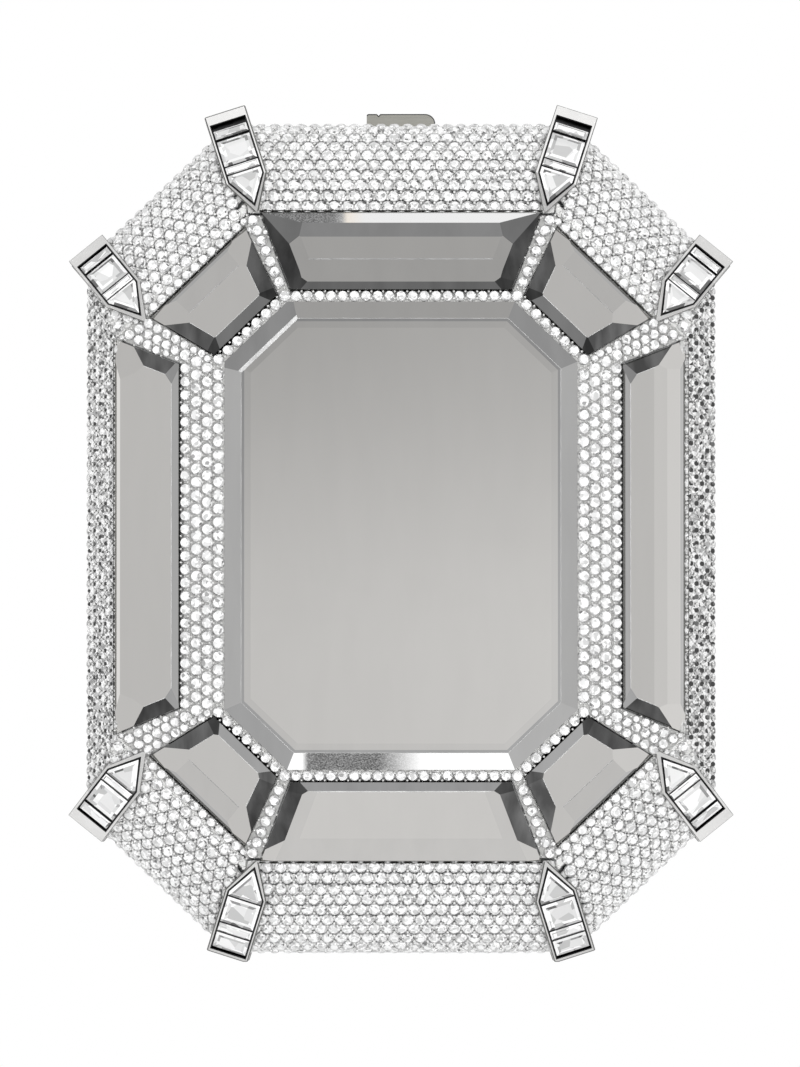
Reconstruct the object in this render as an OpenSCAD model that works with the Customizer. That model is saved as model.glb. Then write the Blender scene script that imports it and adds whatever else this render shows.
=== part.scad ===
// Evening bag in the shape of an emerald-cut stone, standing upright.
// +X is right, -Y is the front, +Z is up. The origin is the bottom centre.
// Most modules are drawn in a seam frame: x to the right, y up, z out of the front,
// with z = 0 on the seam between the two halves. upright() stands them up.

/* [Outline] */
// Width of the body over the girdle
body_w = 126; // [120:1:134]
// Height of the body over the girdle
body_h = 166.4; // [160:0.4:176]
// Corner cut, measured along the top edge
corner_cut_w = 28.4; // [26:0.2:31]
// Corner cut, measured along the side edge
corner_cut_h = 27.2; // [25:0.2:30]

/* [Front crown] */
// Width of the domed band of stones at the sides, seen from the front
side_band_w = 6; // [5:0.1:8]
// Width of the domed band of stones at the top and bottom
end_band_w = 18.5; // [16:0.1:21]
// Width of the domed band of stones at the corner cuts
corner_band_w = 15.8; // [14:0.1:18]
// Width of the ring of mirrors at the sides, seen from the front
side_facet_w = 21.9; // [20:0.1:24]
// Width of the ring of mirrors at the top and bottom
end_facet_w = 18.2; // [16:0.1:20]
// Width of the ring of mirrors at the corner cuts
corner_facet_w = 19; // [17:0.1:21]
// Drop from the table to the outer edge of the ring of mirrors
ring_drop = 7.4; // [6:0.1:9]
// Drop of the domed band from the ring to the girdle
dome_drop = 12.4; // [10:0.1:14]
// Straight wall from the front girdle to the seam
front_wall = 9.6; // [9.2:0.1:12]

/* [Back] */
// Distance of the flat back plate inside the outline
plate_in = 22; // [19:0.5:25]
// Width of the steep band inside the back girdle
back_band = 6; // [5:0.1:7]
// Drop of the shallow slope round the back plate
back_slope_drop = 5.4; // [4:0.1:6]
// Drop of the steep band to the back girdle
back_band_drop = 6.6; // [5:0.1:8]
// Straight wall from the back girdle to the seam
back_wall = 9.6; // [9.2:0.1:12]

/* [Layers] */
// Thickness of the stone beds
bed_t = 1.6; // [1.2:0.1:1.8]
// Thickness of the metal shells
shell_t = 1; // [0.8:0.1:1.2]
// Thickness of the lining trays
lining_t = 0.8; // [0.5:0.1:1]
// Diameter of the small round stones on the bands
stone_d = 2.54; // [2.3:0.02:2.8]
// Distance between their rows, which is stretched a little to fill a band
row_step = 2.3; // [2.1:0.05:2.6]
// Depth of the grooves between their rows
row_groove = 0.5; // [0.2:0.1:0.7]

/* [Mirrors] */
// Glass thickness at a mirror's edge
mirror_edge_t = 1.5; // [1:0.1:1.6]
// Width of the bevel on the centre mirror
table_bevel_w = 3.4; // [2:0.1:4]
// Width of the bevel on the other mirrors
ring_bevel_w = 1.5; // [1:0.1:2.5]
// Height of the flat of a mirror over the stone beds
mirror_proud = 0.3; // [0.1:0.1:0.6]
// Gap between a mirror and the rib beside it
pocket_gap = 0.12; // [0.1:0.01:0.2]
// Width of the single stone rows
row_w = 2.5; // [2.2:0.1:2.8]
// Width of the wide stone ribs at the sides
side_rib_w = 9.1; // [8:0.1:10]

/* [Claws] */
// Width of a claw
claw_w = 8.6; // [7:0.1:9]
// Height of a claw over the beds
claw_rise = 1.9; // [1.7:0.1:2.4]
// Width of a claw's channel walls
claw_lip_w = 0.8; // [0.6:0.05:1]
// Thickness of the solid outer end of the top and side claws
claw_cap_w = 2.2; // [1.8:0.1:2.5]
// Depth of a claw's channel
channel_d = 1; // [0.8:0.05:1.2]
// How far the two top claws stand out past the girdle
claw_out = 2.4; // [2:0.1:3]
// How far the four side claws stand out past the girdle
side_claw_out = 1.6; // [1.4:0.1:2.4]
// How far the two bottom claws stand out past the girdle
foot_out = 0.5; // [0.3:0.1:0.8]
// Height of the body's lower edge over the surface it stands on
stand_h = 1.5; // [1.3:0.1:1.6]

/* [Seam] */
// Depth of each seam rim, front to back
rim_d = 5.5; // [5.2:0.1:6]
// How far the rims lie inside the outline
rim_inset = 0.5; // [0.3:0.1:0.8]
// Gap between the two rims
seam_gap = 0.3; // [0.3:0.05:0.5]
// Height of the locating lip on the back rim
lip_h = 1.2; // [1:0.1:1.6]
// Thickness of the locating lip
lip_t = 1; // [0.8:0.1:1.2]

/* [Hinge] */
// Distance of the hinge axis inside the lower edge
hinge_in = 2.1; // [2:0.05:2.3]
// Radius of the knuckles
knuckle_r = 1.9; // [1.7:0.05:1.95]
// Radius of the hinge pin
pin_r = 0.9; // [0.7:0.05:1]
// Angle that the lid swings open
lid_swing = 100; // [80:5:100]
// Length of the row of knuckles
hinge_len = 44; // [36:1:50]
// Thickness of the hinge leaves
leaf_t = 0.8; // [0.6:0.1:1]

/* [Clasp] */
// Width of the clasp tab
tab_w = 13.8; // [12:0.2:16]
// Thickness of the clasp tab, front to back
tab_d = 3.9; // [3.4:0.1:4]
// Travel of the clasp tab when it is pressed
tab_travel = 1.2; // [0.8:0.1:1.3]
// How far the pressed clasp tab still stands over the body
tab_left = 1.2; // [0.3:0.1:1.5]

/* [Hidden] */

// Smoothness of round pieces, and an overrun that opens every cut cleanly
$fn = 32;
over = 1;
run_gap = 0.3;
pin_gap = 0.05;

// Insets of the ring mirrors' ends from the hips of the crown, inner end then outer end
end_mirror_gaps = [1.9, 3.2];
side_mirror_gaps = [2.7, 0.7];
corner_mirror_top_gaps = [1.4, 1.5];
corner_mirror_side_gaps = [1.1, 6.4];
corner_mirror_outer_gap = 2.3;

// Places of the claw tips from the corners of the ring of mirrors, and of the back's steep band
end_tip_shift = [-2.4, -0.1];
side_tip_shift = [-6.1, 3.05];
back_end_tip_shift = [-1.7, -6.7];
back_side_tip_shift = [-4.5, -7.9];
claw_tip_w = 0.8;
// How far the side claws sit along the corner cut from its lower end
side_claw_shift = 1.2;
knee_l = 7;

// Profile of the domed band: how far out and how far down each fold lies
dome_out_share = [0.335, 0.66, 0.85, 1];
dome_side_share = [0.27, 0.63, 0.93, 1];
dome_down_share = [0.21, 0.5, 0.74, 1];
// Folds of the front and back claws from tip to girdle
claw_fold_share = [0, 0.36, 0.74, 1];
back_claw_fold_share = [0, 0.52, 1];
// Ends of the baguettes along a claw, from tip to girdle; the bottom claws have an order of their own
baguette_share = [[0.05, 0.44], [0.455, 0.53], [0.545, 0.82], [0.85, 0.94]];
foot_baguette_share = [[0.05, 0.41], [0.425, 0.69], [0.705, 0.79], [0.805, 0.96]];
baguette_gap = 0.12;
baguette_sink = 0.1;
strap_baguette_h = 2.3;
// Angle that the groove under the hinge is wider than half the lid's swing, on each side
groove_slack = 3;
// Rounded right and left ends of the clasp tab, and the nick for a fingernail in its top
tab_round_r = 2;
tab_arris_r = 0.4;
nick_x = -4.5;
nick_w = 0.5;
// Metal left in the back rim in front of the clasp tab
tab_wall = 0.75;

// Corner cut of every octagon runs the same way
cut_l = norm([corner_cut_w, corner_cut_h]);
cut_n = [corner_cut_h, corner_cut_w] / cut_l;
girdle = [body_w / 2, body_h / 2, cut_n[0] * (body_w / 2 - corner_cut_w) + cut_n[1] * body_h / 2];
ring = girdle - [side_band_w, end_band_w, corner_band_w];
table = ring - [side_facet_w, end_facet_w, corner_facet_w];
plate = [for (g = girdle) g - plate_in];
back_mid = [for (g = girdle) g - back_band];

front_girdle_z = front_wall;
ring_z = front_girdle_z + dome_drop;
table_z = ring_z + ring_drop;
back_girdle_z = back_wall;
back_mid_z = back_girdle_z + back_band_drop;
plate_z = back_mid_z + back_slope_drop;
rim_top = seam_gap / 2 + rim_d;

shell_in = bed_t;
lining_in = shell_in + shell_t;
rim_in = hinge_in + knuckle_r + run_gap;
mid_z = body_h / 2 + stand_h;
seam_y = (table_z + mirror_proud - plate_z) / 2;
hinge_y = hinge_in - body_h / 2;
tab_out = tab_travel + tab_left;

// Folds as [half width, half height, corner distance, height over the seam]
front_folds = concat(
    [[table[0], table[1], table[2], table_z], [ring[0], ring[1], ring[2], ring_z]],
    [for (i = [0:len(dome_out_share) - 1]) [
        ring[0] + dome_side_share[i] * (girdle[0] - ring[0]),
        ring[1] + dome_out_share[i] * (girdle[1] - ring[1]),
        ring[2] + dome_out_share[i] * (girdle[2] - ring[2]),
        ring_z - dome_down_share[i] * dome_drop]]);
back_folds = [
    [plate[0], plate[1], plate[2], plate_z],
    [back_mid[0], back_mid[1], back_mid[2], back_mid_z],
    [girdle[0], girdle[1], girdle[2], back_girdle_z]];

function cut_distance(p) = cut_n[0] * abs(p[0]) + cut_n[1] * abs(p[1]);
function octagon(o, grow = 0) =
    let (w = o[0] + grow, h = o[1] + grow, c = o[2] + grow,
         x = (c - cut_n[1] * h) / cut_n[0], y = (c - cut_n[0] * w) / cut_n[1])
    [[w, -y], [w, y], [x, h], [-x, h], [-w, y], [-w, -y], [-x, -h], [x, -h]];
// Height of the faceted surface over the seam at a point of the front view
function surface_z(folds, p) = min(
    lookup(abs(p[0]), [for (f = folds) [f[0], f[3]]]),
    lookup(abs(p[1]), [for (f = folds) [f[1], f[3]]]),
    lookup(cut_distance(p), [for (f = folds) [f[2], f[3]]]));

// Solid between the faceted surface, moved out by grow, and a flat base
module gem(folds, grow = 0, base = rim_top) {
    last = folds[len(folds) - 1];
    rings = concat([for (f = folds) [for (p = octagon(f, grow)) [p[0], p[1], f[3] + grow]]],
                   [[for (p = octagon(last, grow)) [p[0], p[1], base]]]);
    sides = len(rings[0]);
    rows = len(rings);
    polyhedron(
        points = [for (r = rings) for (p = r) p],
        faces = concat(
            [[for (i = [sides - 1:-1:0]) i]],
            [for (k = [0:rows - 2]) for (i = [0:sides - 1])
                let (j = (i + 1) % sides, a = k * sides, b = a + sides) [a + i, a + j, b + j, b + i]],
            [[for (i = [0:sides - 1]) (rows - 1) * sides + i]]));
}

// Bed of metal under the faceted surface; rows is a fold list with the stones' ridges in it
module bed(folds, rows = []) {
    difference() {
        gem(len(rows) > 0 ? rows : folds);
        gem(folds, -shell_in, rim_top - over);
    }
}

// Rows of stones are ridges with grooves between them, laid out along a band's profile, which
// is a path of points [distance out, height over the seam] from the middle to the girdle
stone_flat_share = 0.56;
function path_l(path, k = 0) =
    k > len(path) - 2 ? 0 : norm(path[k + 1] - path[k]) + path_l(path, k + 1);
function path_at(path, s, sink, k = 0) =
    let (step = path[k + 1] - path[k], l = norm(step))
    s > l && k < len(path) - 2 ? path_at(path, s - l, sink, k + 1)
    : path[k] + step * s / l + [step[1], -step[0]] * sink / l;
function rowed(path) =
    let (walled = concat(path, [[path[len(path) - 1][0], rim_top]]),
         l = path_l(walled) - stone_d,
         n = round(l / row_step),
         half_groove = (l / n - stone_flat_share * stone_d) / 2)
    concat([path[0]], [for (k = [1:n], way = [-1, 0, 1])
        path_at(walled, stone_d / 2 + (k - 1 / 2) * l / n + way * half_groove,
            way == 0 ? row_groove : 0)]);

module upright() {
    translate([0, seam_y, mid_z]) rotate([90, 0, 0]) children();
}
module behind() {
    mirror([0, 0, 1]) children();
}

// Facets of the crown: a frame with x along the facet and y down its slope
function slope(inner, outer) = atan((table_z - ring_z) / (outer - inner));
function seat_depth(tilt) = shell_in * (cos(tilt) + sin(tilt));
module on_facet(turn, inner, tilt) {
    translate([0, 0, table_z]) rotate([0, 0, turn]) translate([0, inner, 0]) rotate([-tilt, 0, 0])
        children();
}
// Glass with a bevelled rim, its underside on the shell and its flat just over the beds
module glass(outline, seat, bevel_w) {
    hull() {
        translate([0, 0, -seat]) linear_extrude(mirror_edge_t) polygon(outline);
        translate([0, 0, -seat]) linear_extrude(seat + mirror_proud) offset(delta = -bevel_w)
            polygon(outline);
    }
}
module pocket(outline, seat) {
    translate([0, 0, -seat - over]) linear_extrude(seat + 2 * over) offset(delta = pocket_gap)
        polygon(outline);
}
// Outline of a ring mirror from the facet's half lengths and its end insets
function ring_outline(inner_l, outer_l, facet_w, from_in, to_out, tilt, left_gaps, right_gaps) =
    let (a = from_in / facet_w, b = 1 - to_out / facet_w, c = cos(tilt),
         l = [for (s = [a, b]) inner_l[0] + s * (outer_l[0] - inner_l[0])],
         r = [for (s = [a, b]) inner_l[1] + s * (outer_l[1] - inner_l[1])])
    [[l[0] + left_gaps[0], a * facet_w / c], [r[0] - right_gaps[0], a * facet_w / c],
     [r[1] - right_gaps[1], b * facet_w / c], [l[1] + left_gaps[1], b * facet_w / c]];

table_corners = octagon(table);
ring_corners = octagon(ring);
girdle_corners = octagon(girdle);
back_mid_corners = octagon(back_mid);

end_w = ring[1] - table[1];
end_tilt = slope(table[1], ring[1]);
end_outline = ring_outline(
    [-table_corners[2][0], table_corners[2][0]], [-ring_corners[2][0], ring_corners[2][0]],
    end_w, row_w, 0, end_tilt, end_mirror_gaps, end_mirror_gaps);
side_w = ring[0] - table[0];
side_tilt = slope(table[0], ring[0]);
side_outline = ring_outline(
    [-table_corners[1][1], table_corners[1][1]], [-ring_corners[1][1], ring_corners[1][1]],
    side_w, side_rib_w, 0, side_tilt, side_mirror_gaps, side_mirror_gaps);
corner_w = ring[2] - table[2];
corner_tilt = slope(table[2], ring[2]);
corner_turn = -atan2(cut_n[0], cut_n[1]);
function along_cut(p) = cut_n[1] * p[0] - cut_n[0] * p[1];
corner_outline = ring_outline(
    [along_cut(table_corners[2]), along_cut(table_corners[1])],
    [along_cut(ring_corners[2]), along_cut(ring_corners[1])],
    corner_w, row_w, corner_mirror_outer_gap, corner_tilt,
    corner_mirror_top_gaps, corner_mirror_side_gaps);
table_outline = octagon(table, -pocket_gap);

module mirrors_cut() {
    translate([0, 0, table_z]) pocket(table_outline, seat_depth(0));
    for (turn = [0, 180]) on_facet(turn, table[1], end_tilt)
        pocket(end_outline, seat_depth(end_tilt));
    for (turn = [90, -90]) on_facet(turn, table[0], side_tilt)
        pocket(side_outline, seat_depth(side_tilt));
    for (flip = [0, 1], tip = [0, 1]) mirror([flip, 0, 0]) mirror([0, tip, 0])
        on_facet(corner_turn, table[2], corner_tilt) pocket(corner_outline, seat_depth(corner_tilt));
}

module table_glass() {
    color("lightgray") upright() translate([0, 0, table_z])
        glass(table_outline, seat_depth(0), table_bevel_w);
}
module end_glass(turn) {
    color("silver") upright() on_facet(turn, table[1], end_tilt)
        glass(end_outline, seat_depth(end_tilt), ring_bevel_w);
}
module side_glass(turn) {
    color("silver") upright() on_facet(turn, table[0], side_tilt)
        glass(side_outline, seat_depth(side_tilt), ring_bevel_w);
}
module corner_glass(flip, tip) {
    color("silver") upright() mirror([flip, 0, 0]) mirror([0, tip, 0])
        on_facet(corner_turn, table[2], corner_tilt)
            glass(corner_outline, seat_depth(corner_tilt), ring_bevel_w);
}

module centre_mirror() table_glass();
module top_mirror() end_glass(0);
module bottom_mirror() end_glass(180);
module left_mirror() side_glass(90);
module right_mirror() side_glass(-90);
module upper_right_mirror() corner_glass(0, 0);
module upper_left_mirror() corner_glass(1, 0);
module lower_right_mirror() corner_glass(0, 1);
module lower_left_mirror() corner_glass(1, 1);

// Raised lattice between the mirrors that carries the single rows and the wide ribs
module rib_setting() {
    color("gainsboro") upright() difference() {
        intersection() {
            bed(front_folds);
            linear_extrude(table_z + over) polygon(ring_corners);
        }
        mirrors_cut();
    }
}

// One of the eight bands between the hips, counted anticlockwise from the right. Its profile
// is drawn out along the band and cut off at the hips
sector_reach_share = 2;
band_gap = 0.05;
cut_turn = atan2(cut_n[1], cut_n[0]);
band_turns = [0, cut_turn, 90, 180 - cut_turn, 180, 180 + cut_turn, 270, -cut_turn];
band_axes = [0, 2, 1, 2, 0, 2, 1, 2];
dome_folds = [for (k = [1:len(front_folds) - 1]) front_folds[k]];
module pave_band(i) {
    j = (i + 1) % len(ring_corners);
    path = [for (f = dome_folds) [f[band_axes[i]], f[3]]];
    last = len(path) - 1;
    skin = concat(
        rowed(path), [[path[last][0], rim_top], [path[last][0] - shell_in, rim_top]],
        [for (k = [last:-1:0]) path[k] - [shell_in, shell_in]]);
    hips = [for (f = dome_folds) octagon(f)];
    function out(k) = ring_corners[k] + sector_reach_share * (girdle_corners[k] - ring_corners[k]);
    color("whitesmoke") upright() intersection() {
        rotate([0, 0, band_turns[i]]) rotate([90, 0, 0]) linear_extrude(body_h, center = true)
            polygon(skin);
        linear_extrude(table_z) offset(delta = -band_gap) polygon(concat(
            [for (h = hips) h[i]], [out(i), out(j)], [for (k = [last:-1:0]) hips[k][j]]));
    }
}
module right_pave() pave_band(0);
module upper_right_pave() pave_band(1);
module top_pave() pave_band(2);
module upper_left_pave() pave_band(3);
module left_pave() pave_band(4);
module lower_left_pave() pave_band(5);
module bottom_pave() pave_band(6);
module lower_right_pave() pave_band(7);

module shell_tray(folds, from, thick) {
    difference() {
        gem(folds, -from);
        gem(folds, -from - thick, rim_top - over);
    }
}
module front_shell() color("slategray") upright() shell_tray(front_folds, shell_in, shell_t);
module front_lining() color("dimgray") upright() shell_tray(front_folds, lining_in, lining_t);
module back_shell() color("slategray") upright() behind() shell_tray(back_folds, shell_in, shell_t);
module back_lining() color("dimgray") upright() behind() shell_tray(back_folds, lining_in, lining_t);

// The polished plate is a flat skin in the middle of the back, with the stones round it
module plate_prism(grow) {
    translate([0, 0, plate_z - shell_in]) linear_extrude(shell_in + over)
        polygon(octagon(plate, grow));
}
module back_plate() {
    color("silver") upright() behind() intersection() {
        bed(back_folds);
        plate_prism(-pocket_gap);
    }
}
module back_pave() {
    color("whitesmoke") upright() behind() difference() {
        bed(back_folds, [for (p = rowed([for (f = back_folds) [f[0], f[3]]]))
            [p[0], p[0] + plate[1] - plate[0], p[0] + plate[2] - plate[0], p[1]]]);
        plate_prism(0);
    }
}

// Claws. In a claw's frame x runs from the tip out over the girdle, y across, z over the seam
function claw_l(tip, end) = norm(end - tip);
function claw_path(folds, tip, end, out, low) =
    let (l = claw_l(tip, end),
         pts = [for (s = folds == back_folds ? back_claw_fold_share : claw_fold_share)
             [s * l, surface_z(folds, tip + s * (end - tip)) + claw_rise - low]],
         n = len(pts), a = pts[n - 2], b = pts[n - 1],
         fall = (a[1] - b[1]) / (b[0] - a[0]))
    concat([for (i = [0:n - 2]) pts[i]], [[b[0] + out, b[1] - fall * out]]);
// Everything under the claw's folded top, sunk by low, down to the rim
module claw_under(folds, tip, end, out, low) {
    path = claw_path(folds, tip, end, out, low);
    first = path[0];
    last = path[len(path) - 1];
    translate([0, claw_w, 0]) rotate([90, 0, 0]) linear_extrude(2 * claw_w)
        polygon(concat([[-over, rim_top], [-over, first[1]]], path, [[last[0], rim_top]]));
}
// The claw's outline in the front view, set in from its edge, from one place along it to another
module claw_plan(tip, end, inset, from, to) {
    far = claw_l(tip, end) + claw_w;
    half = claw_w / 2 - inset;
    point = claw_tip_w / 2 - inset;
    lean = atan2(claw_w / 2 - claw_tip_w / 2, knee_l);
    knee = knee_l + inset * tan(lean / 2);
    nose = point > 0 ? [[inset, point], [inset, -point]] : [[inset - point / tan(lean), 0]];
    intersection() {
        polygon(concat([[far, -half], [far, half], [knee, half]], nose, [[knee, -half]]));
        translate([from, -claw_w]) square([to - from, 2 * claw_w]);
    }
}
// The bottom claws hardly stand out: a thin rim closes their channel, and no stone fits their end
function on_foot(out) = out <= channel_d;
function channel_end(tip, end, out) = claw_l(tip, end) + out - (on_foot(out) ? claw_lip_w : claw_cap_w);
module claw_body(folds, tip, end, out) {
    l = claw_l(tip, end);
    tall = table_z + claw_rise;
    difference() {
        intersection() {
            claw_under(folds, tip, end, out, 0);
            linear_extrude(tall) claw_plan(tip, end, 0, 0, l + claw_w);
        }
        difference() {
            linear_extrude(tall) claw_plan(tip, end, claw_lip_w, 0, channel_end(tip, end, out));
            claw_under(folds, tip, end, out, channel_d);
        }
        if (!on_foot(out)) strap_stone(tip, end, out, 0, -over);
    }
}
// The baguette on the claw's outer face, or its pocket, smaller by gap and sunk by low
module strap_stone(tip, end, out, gap, low) {
    translate([claw_l(tip, end) + out - channel_d, claw_lip_w + gap - claw_w / 2,
               rim_top + claw_lip_w + gap])
        cube([channel_d - low, claw_w - 2 * claw_lip_w - 2 * gap, strap_baguette_h - 2 * gap]);
}
module claw_stones(folds, tip, end, out) {
    l = claw_l(tip, end);
    for (s = on_foot(out) ? foot_baguette_share : baguette_share) difference() {
        intersection() {
            claw_under(folds, tip, end, out, baguette_sink);
            linear_extrude(table_z) claw_plan(tip, end, claw_lip_w + baguette_gap, s[0] * l, s[1] * l);
        }
        claw_under(folds, tip, end, out, channel_d);
    }
    if (!on_foot(out)) strap_stone(tip, end, out, baguette_gap, baguette_sink);
}
module at_claw(tip, end) {
    d = end - tip;
    translate([tip[0], tip[1], 0]) rotate([0, 0, atan2(d[1], d[0])]) children();
}
module floor_cut() {
    translate([-body_w, -mid_z - body_h, -table_z]) cube([2 * body_w, body_h, 3 * table_z]);
}
end_tip = ring_corners[2] + end_tip_shift;
side_tip = ring_corners[1] + side_tip_shift;
back_end_tip = back_mid_corners[2] + back_end_tip_shift;
back_side_tip = back_mid_corners[1] + back_side_tip_shift;
end_corner = girdle_corners[2];
side_corner = girdle_corners[1] + side_claw_shift * [-cut_n[1], cut_n[0]];
module claw(folds, tip, end, out) {
    difference() {
        at_claw(tip, end) claw_body(folds, tip, end, out);
        gem(folds, 0, rim_top - over);
    }
}
module front_claw(flip, down, side) {
    color("silver") upright() difference() {
        mirror([flip, 0, 0]) mirror([0, down, 0])
            if (side) claw(front_folds, side_tip, side_corner, side_claw_out);
            else claw(front_folds, end_tip, end_corner, down == 1 ? foot_out : claw_out);
        floor_cut();
    }
}
module top_right_claw() front_claw(0, 0, false);
module top_left_claw() front_claw(1, 0, false);
module bottom_right_claw() front_claw(0, 1, false);
module bottom_left_claw() front_claw(1, 1, false);
module right_upper_claw() front_claw(0, 0, true);
module left_upper_claw() front_claw(1, 0, true);
module right_lower_claw() front_claw(0, 1, true);
module left_lower_claw() front_claw(1, 1, true);

module baguettes(folds, near_end, near_side) {
    for (flip = [0, 1], down = [0, 1]) mirror([flip, 0, 0]) mirror([0, down, 0]) {
        out = down == 1 ? foot_out : claw_out;
        difference() {
            union() {
                at_claw(near_end, end_corner) claw_stones(folds, near_end, end_corner, out);
                at_claw(near_side, side_corner)
                    claw_stones(folds, near_side, side_corner, side_claw_out);
            }
            gem(folds, 0, rim_top - over);
        }
    }
}
module claw_baguettes() color("aliceblue") upright() baguettes(front_folds, end_tip, side_tip);
module back_baguettes() {
    color("aliceblue") upright() behind() baguettes(back_folds, back_end_tip, back_side_tip);
}
module back_claws() {
    color("silver") upright() behind() difference() {
        for (flip = [0, 1], down = [0, 1]) mirror([flip, 0, 0]) mirror([0, down, 0]) {
            claw(back_folds, back_end_tip, end_corner, down == 1 ? foot_out : claw_out);
            claw(back_folds, back_side_tip, side_corner, side_claw_out);
        }
        floor_cut();
    }
}

// Seam rims, with a groove along the bottom so that the halves can swing past each other
channel_r = knuckle_r + run_gap;
rim_open = rim_in - lip_t;
module ring_prism(outer, inner, from, to) {
    translate([0, 0, from]) linear_extrude(to - from) difference() {
        polygon(octagon(girdle, -outer));
        polygon(octagon(girdle, -inner));
    }
}
module hinge_channel() {
    translate([-hinge_len / 2 - run_gap, hinge_y, 0]) rotate([0, 90, 0])
        cylinder(r = channel_r, h = hinge_len + 2 * run_gap);
    translate([-hinge_len / 2 - run_gap, hinge_y, -channel_r])
        cube([hinge_len + 2 * run_gap, rim_in, 2 * channel_r]);
    reach = 2 * hinge_in;
    spread = reach * tan(lid_swing / 2 + groove_slack);
    translate([-body_w, hinge_y, 0]) rotate([90, 0, 90]) linear_extrude(2 * body_w)
        polygon([[0, 0], [-reach, spread], [-reach, -spread]]);
}
module front_rim() {
    color("silver") upright() difference() {
        ring_prism(rim_inset, rim_in, seam_gap / 2, rim_top);
        ring_prism(rim_open - run_gap, rim_in + over, 0, lip_h + run_gap);
        hinge_channel();
        rivet_holes(1);
    }
}
module back_rim() {
    color("silver") upright() difference() {
        union() {
            ring_prism(rim_inset, rim_in, -rim_top, -seam_gap / 2);
            difference() {
                ring_prism(rim_open, rim_in, -seam_gap / 2 - over, lip_h);
                translate([-hinge_len / 2 - over, hinge_y, -seam_gap / 2])
                    cube([hinge_len + 2 * over, 2 * rim_in, 2 * lip_h]);
            }
        }
        hinge_channel();
        rivet_holes(-1);
        translate([-tab_w / 2 - run_gap, body_h / 2 - rim_in - over, tab_front_z - tab_d - run_gap])
            cube([tab_w + 2 * run_gap, rim_in + 2 * over, tab_d + 2 * run_gap]);
        for (side = [-1, 1]) screw_at(side) cylinder(r = screw_r + pin_gap, h = screw_l + pin_gap);
    }
}

// Hinge: five knuckles, three on the back leaf and two on the front leaf
knuckles = 5;
knuckle_l = (hinge_len - (knuckles - 1) * run_gap) / knuckles;
leaf_y = rim_in - hinge_in;
function knuckle_x(i) = -hinge_len / 2 + i * (knuckle_l + run_gap);
module hinge_leaf(side, first) {
    translate([0, hinge_y, 0]) difference() {
        union() {
            for (i = [first:2:knuckles - 1]) translate([knuckle_x(i), 0, 0]) {
                rotate([0, 90, 0]) cylinder(r = knuckle_r, h = knuckle_l);
                translate([0, 0, side > 0 ? seam_gap / 2 : -knuckle_r])
                    cube([knuckle_l, leaf_y + leaf_t, knuckle_r - seam_gap / 2]);
            }
            translate([-hinge_len / 2, leaf_y, side > 0 ? seam_gap / 2 : -rim_top])
                cube([hinge_len, leaf_t, rim_d]);
        }
        translate([-hinge_len / 2 - over, 0, 0]) rotate([0, 90, 0])
            cylinder(r = pin_r + pin_gap, h = hinge_len + 2 * over);
        translate([0, -hinge_y, 0]) rivet_holes(side);
    }
}
module front_hinge_leaf() color("darkgray") upright() hinge_leaf(1, 1);
module back_hinge_leaf() color("darkgray") upright() hinge_leaf(-1, 0);
module hinge_pin() {
    color("dimgray") upright() translate([-hinge_len / 2, hinge_y, 0]) rotate([0, 90, 0])
        cylinder(r = pin_r, h = hinge_len);
}
// Rivets stand in the leaf and the rim, their heads on the leaf
rivet_r = 0.5;
rivet_head_r = 0.9;
rivet_head_h = 0.4;
rivet_l = 1.6;
rivet_x_share = [-0.4, -0.14, 0.14, 0.4];
rivet_z = (rim_top + channel_r) / 2;
module rivet_at(side) {
    for (x = rivet_x_share) translate([x * hinge_len, hinge_y + leaf_y + leaf_t, side * rivet_z])
        rotate([90, 0, 0]) children();
}
module rivet_holes(side) {
    rivet_at(side) translate([0, 0, -over]) cylinder(r = rivet_r + pin_gap, h = rivet_l + leaf_t + over);
}
module rivets(side) {
    rivet_at(side) {
        cylinder(r = rivet_r, h = rivet_l + leaf_t);
        translate([0, 0, -rivet_head_h]) cylinder(r = rivet_head_r, h = rivet_head_h);
    }
}
module front_hinge_rivets() color("dimgray") upright() rivets(1);
module back_hinge_rivets() color("dimgray") upright() rivets(-1);

// Clasp: a sprung tab in the back rim, with a hook that reaches under the keeper on the lid
rim_face = body_h / 2 - rim_in;
tab_front_z = -seam_gap / 2 - tab_wall;
flange_t = 1.2;
flange_over = 1.3;
flange_top = rim_face - run_gap;
hook_w = 5;
hook_t = 0.8;
hook_drop = 1.4;
hook_reach = 3.7;
barb_h = 0.9;
barb_t = 1;
spring_l = 4.5;
spring_turns = 4;
spring_coil_r = 1.35;
spring_wire_r = 0.2;
spring_x = 5.2;
house_t = 0.8;
ear_l = 4;
screw_r = 0.7;
screw_l = 2.6;
screw_head_r = 1.3;
screw_head_h = 0.8;
flange_w = tab_w + 2 * flange_over;
house_w = flange_w + 2 * run_gap + house_t;
hook_top = flange_top - flange_t - hook_drop;
spring_floor = flange_top - flange_t - spring_l;
tab_mid_z = tab_front_z - tab_d / 2;
module block(x, y, z) {
    translate([x[0], y[0], z[0]]) cube([x[1] - x[0], y[1] - y[0], z[1] - z[0]]);
}
module thumb_outline() {
    top = body_h / 2 + tab_out;
    difference() {
        hull() {
            translate([-tab_w / 2, flange_top - flange_t]) square([tab_w, flange_t]);
            translate([tab_arris_r - tab_w / 2, top - tab_arris_r]) circle(tab_arris_r);
            translate([tab_w / 2 - tab_round_r, top - tab_round_r]) circle(tab_round_r);
        }
        translate([nick_x, top]) rotate(45) square(nick_w, center = true);
    }
}
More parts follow.
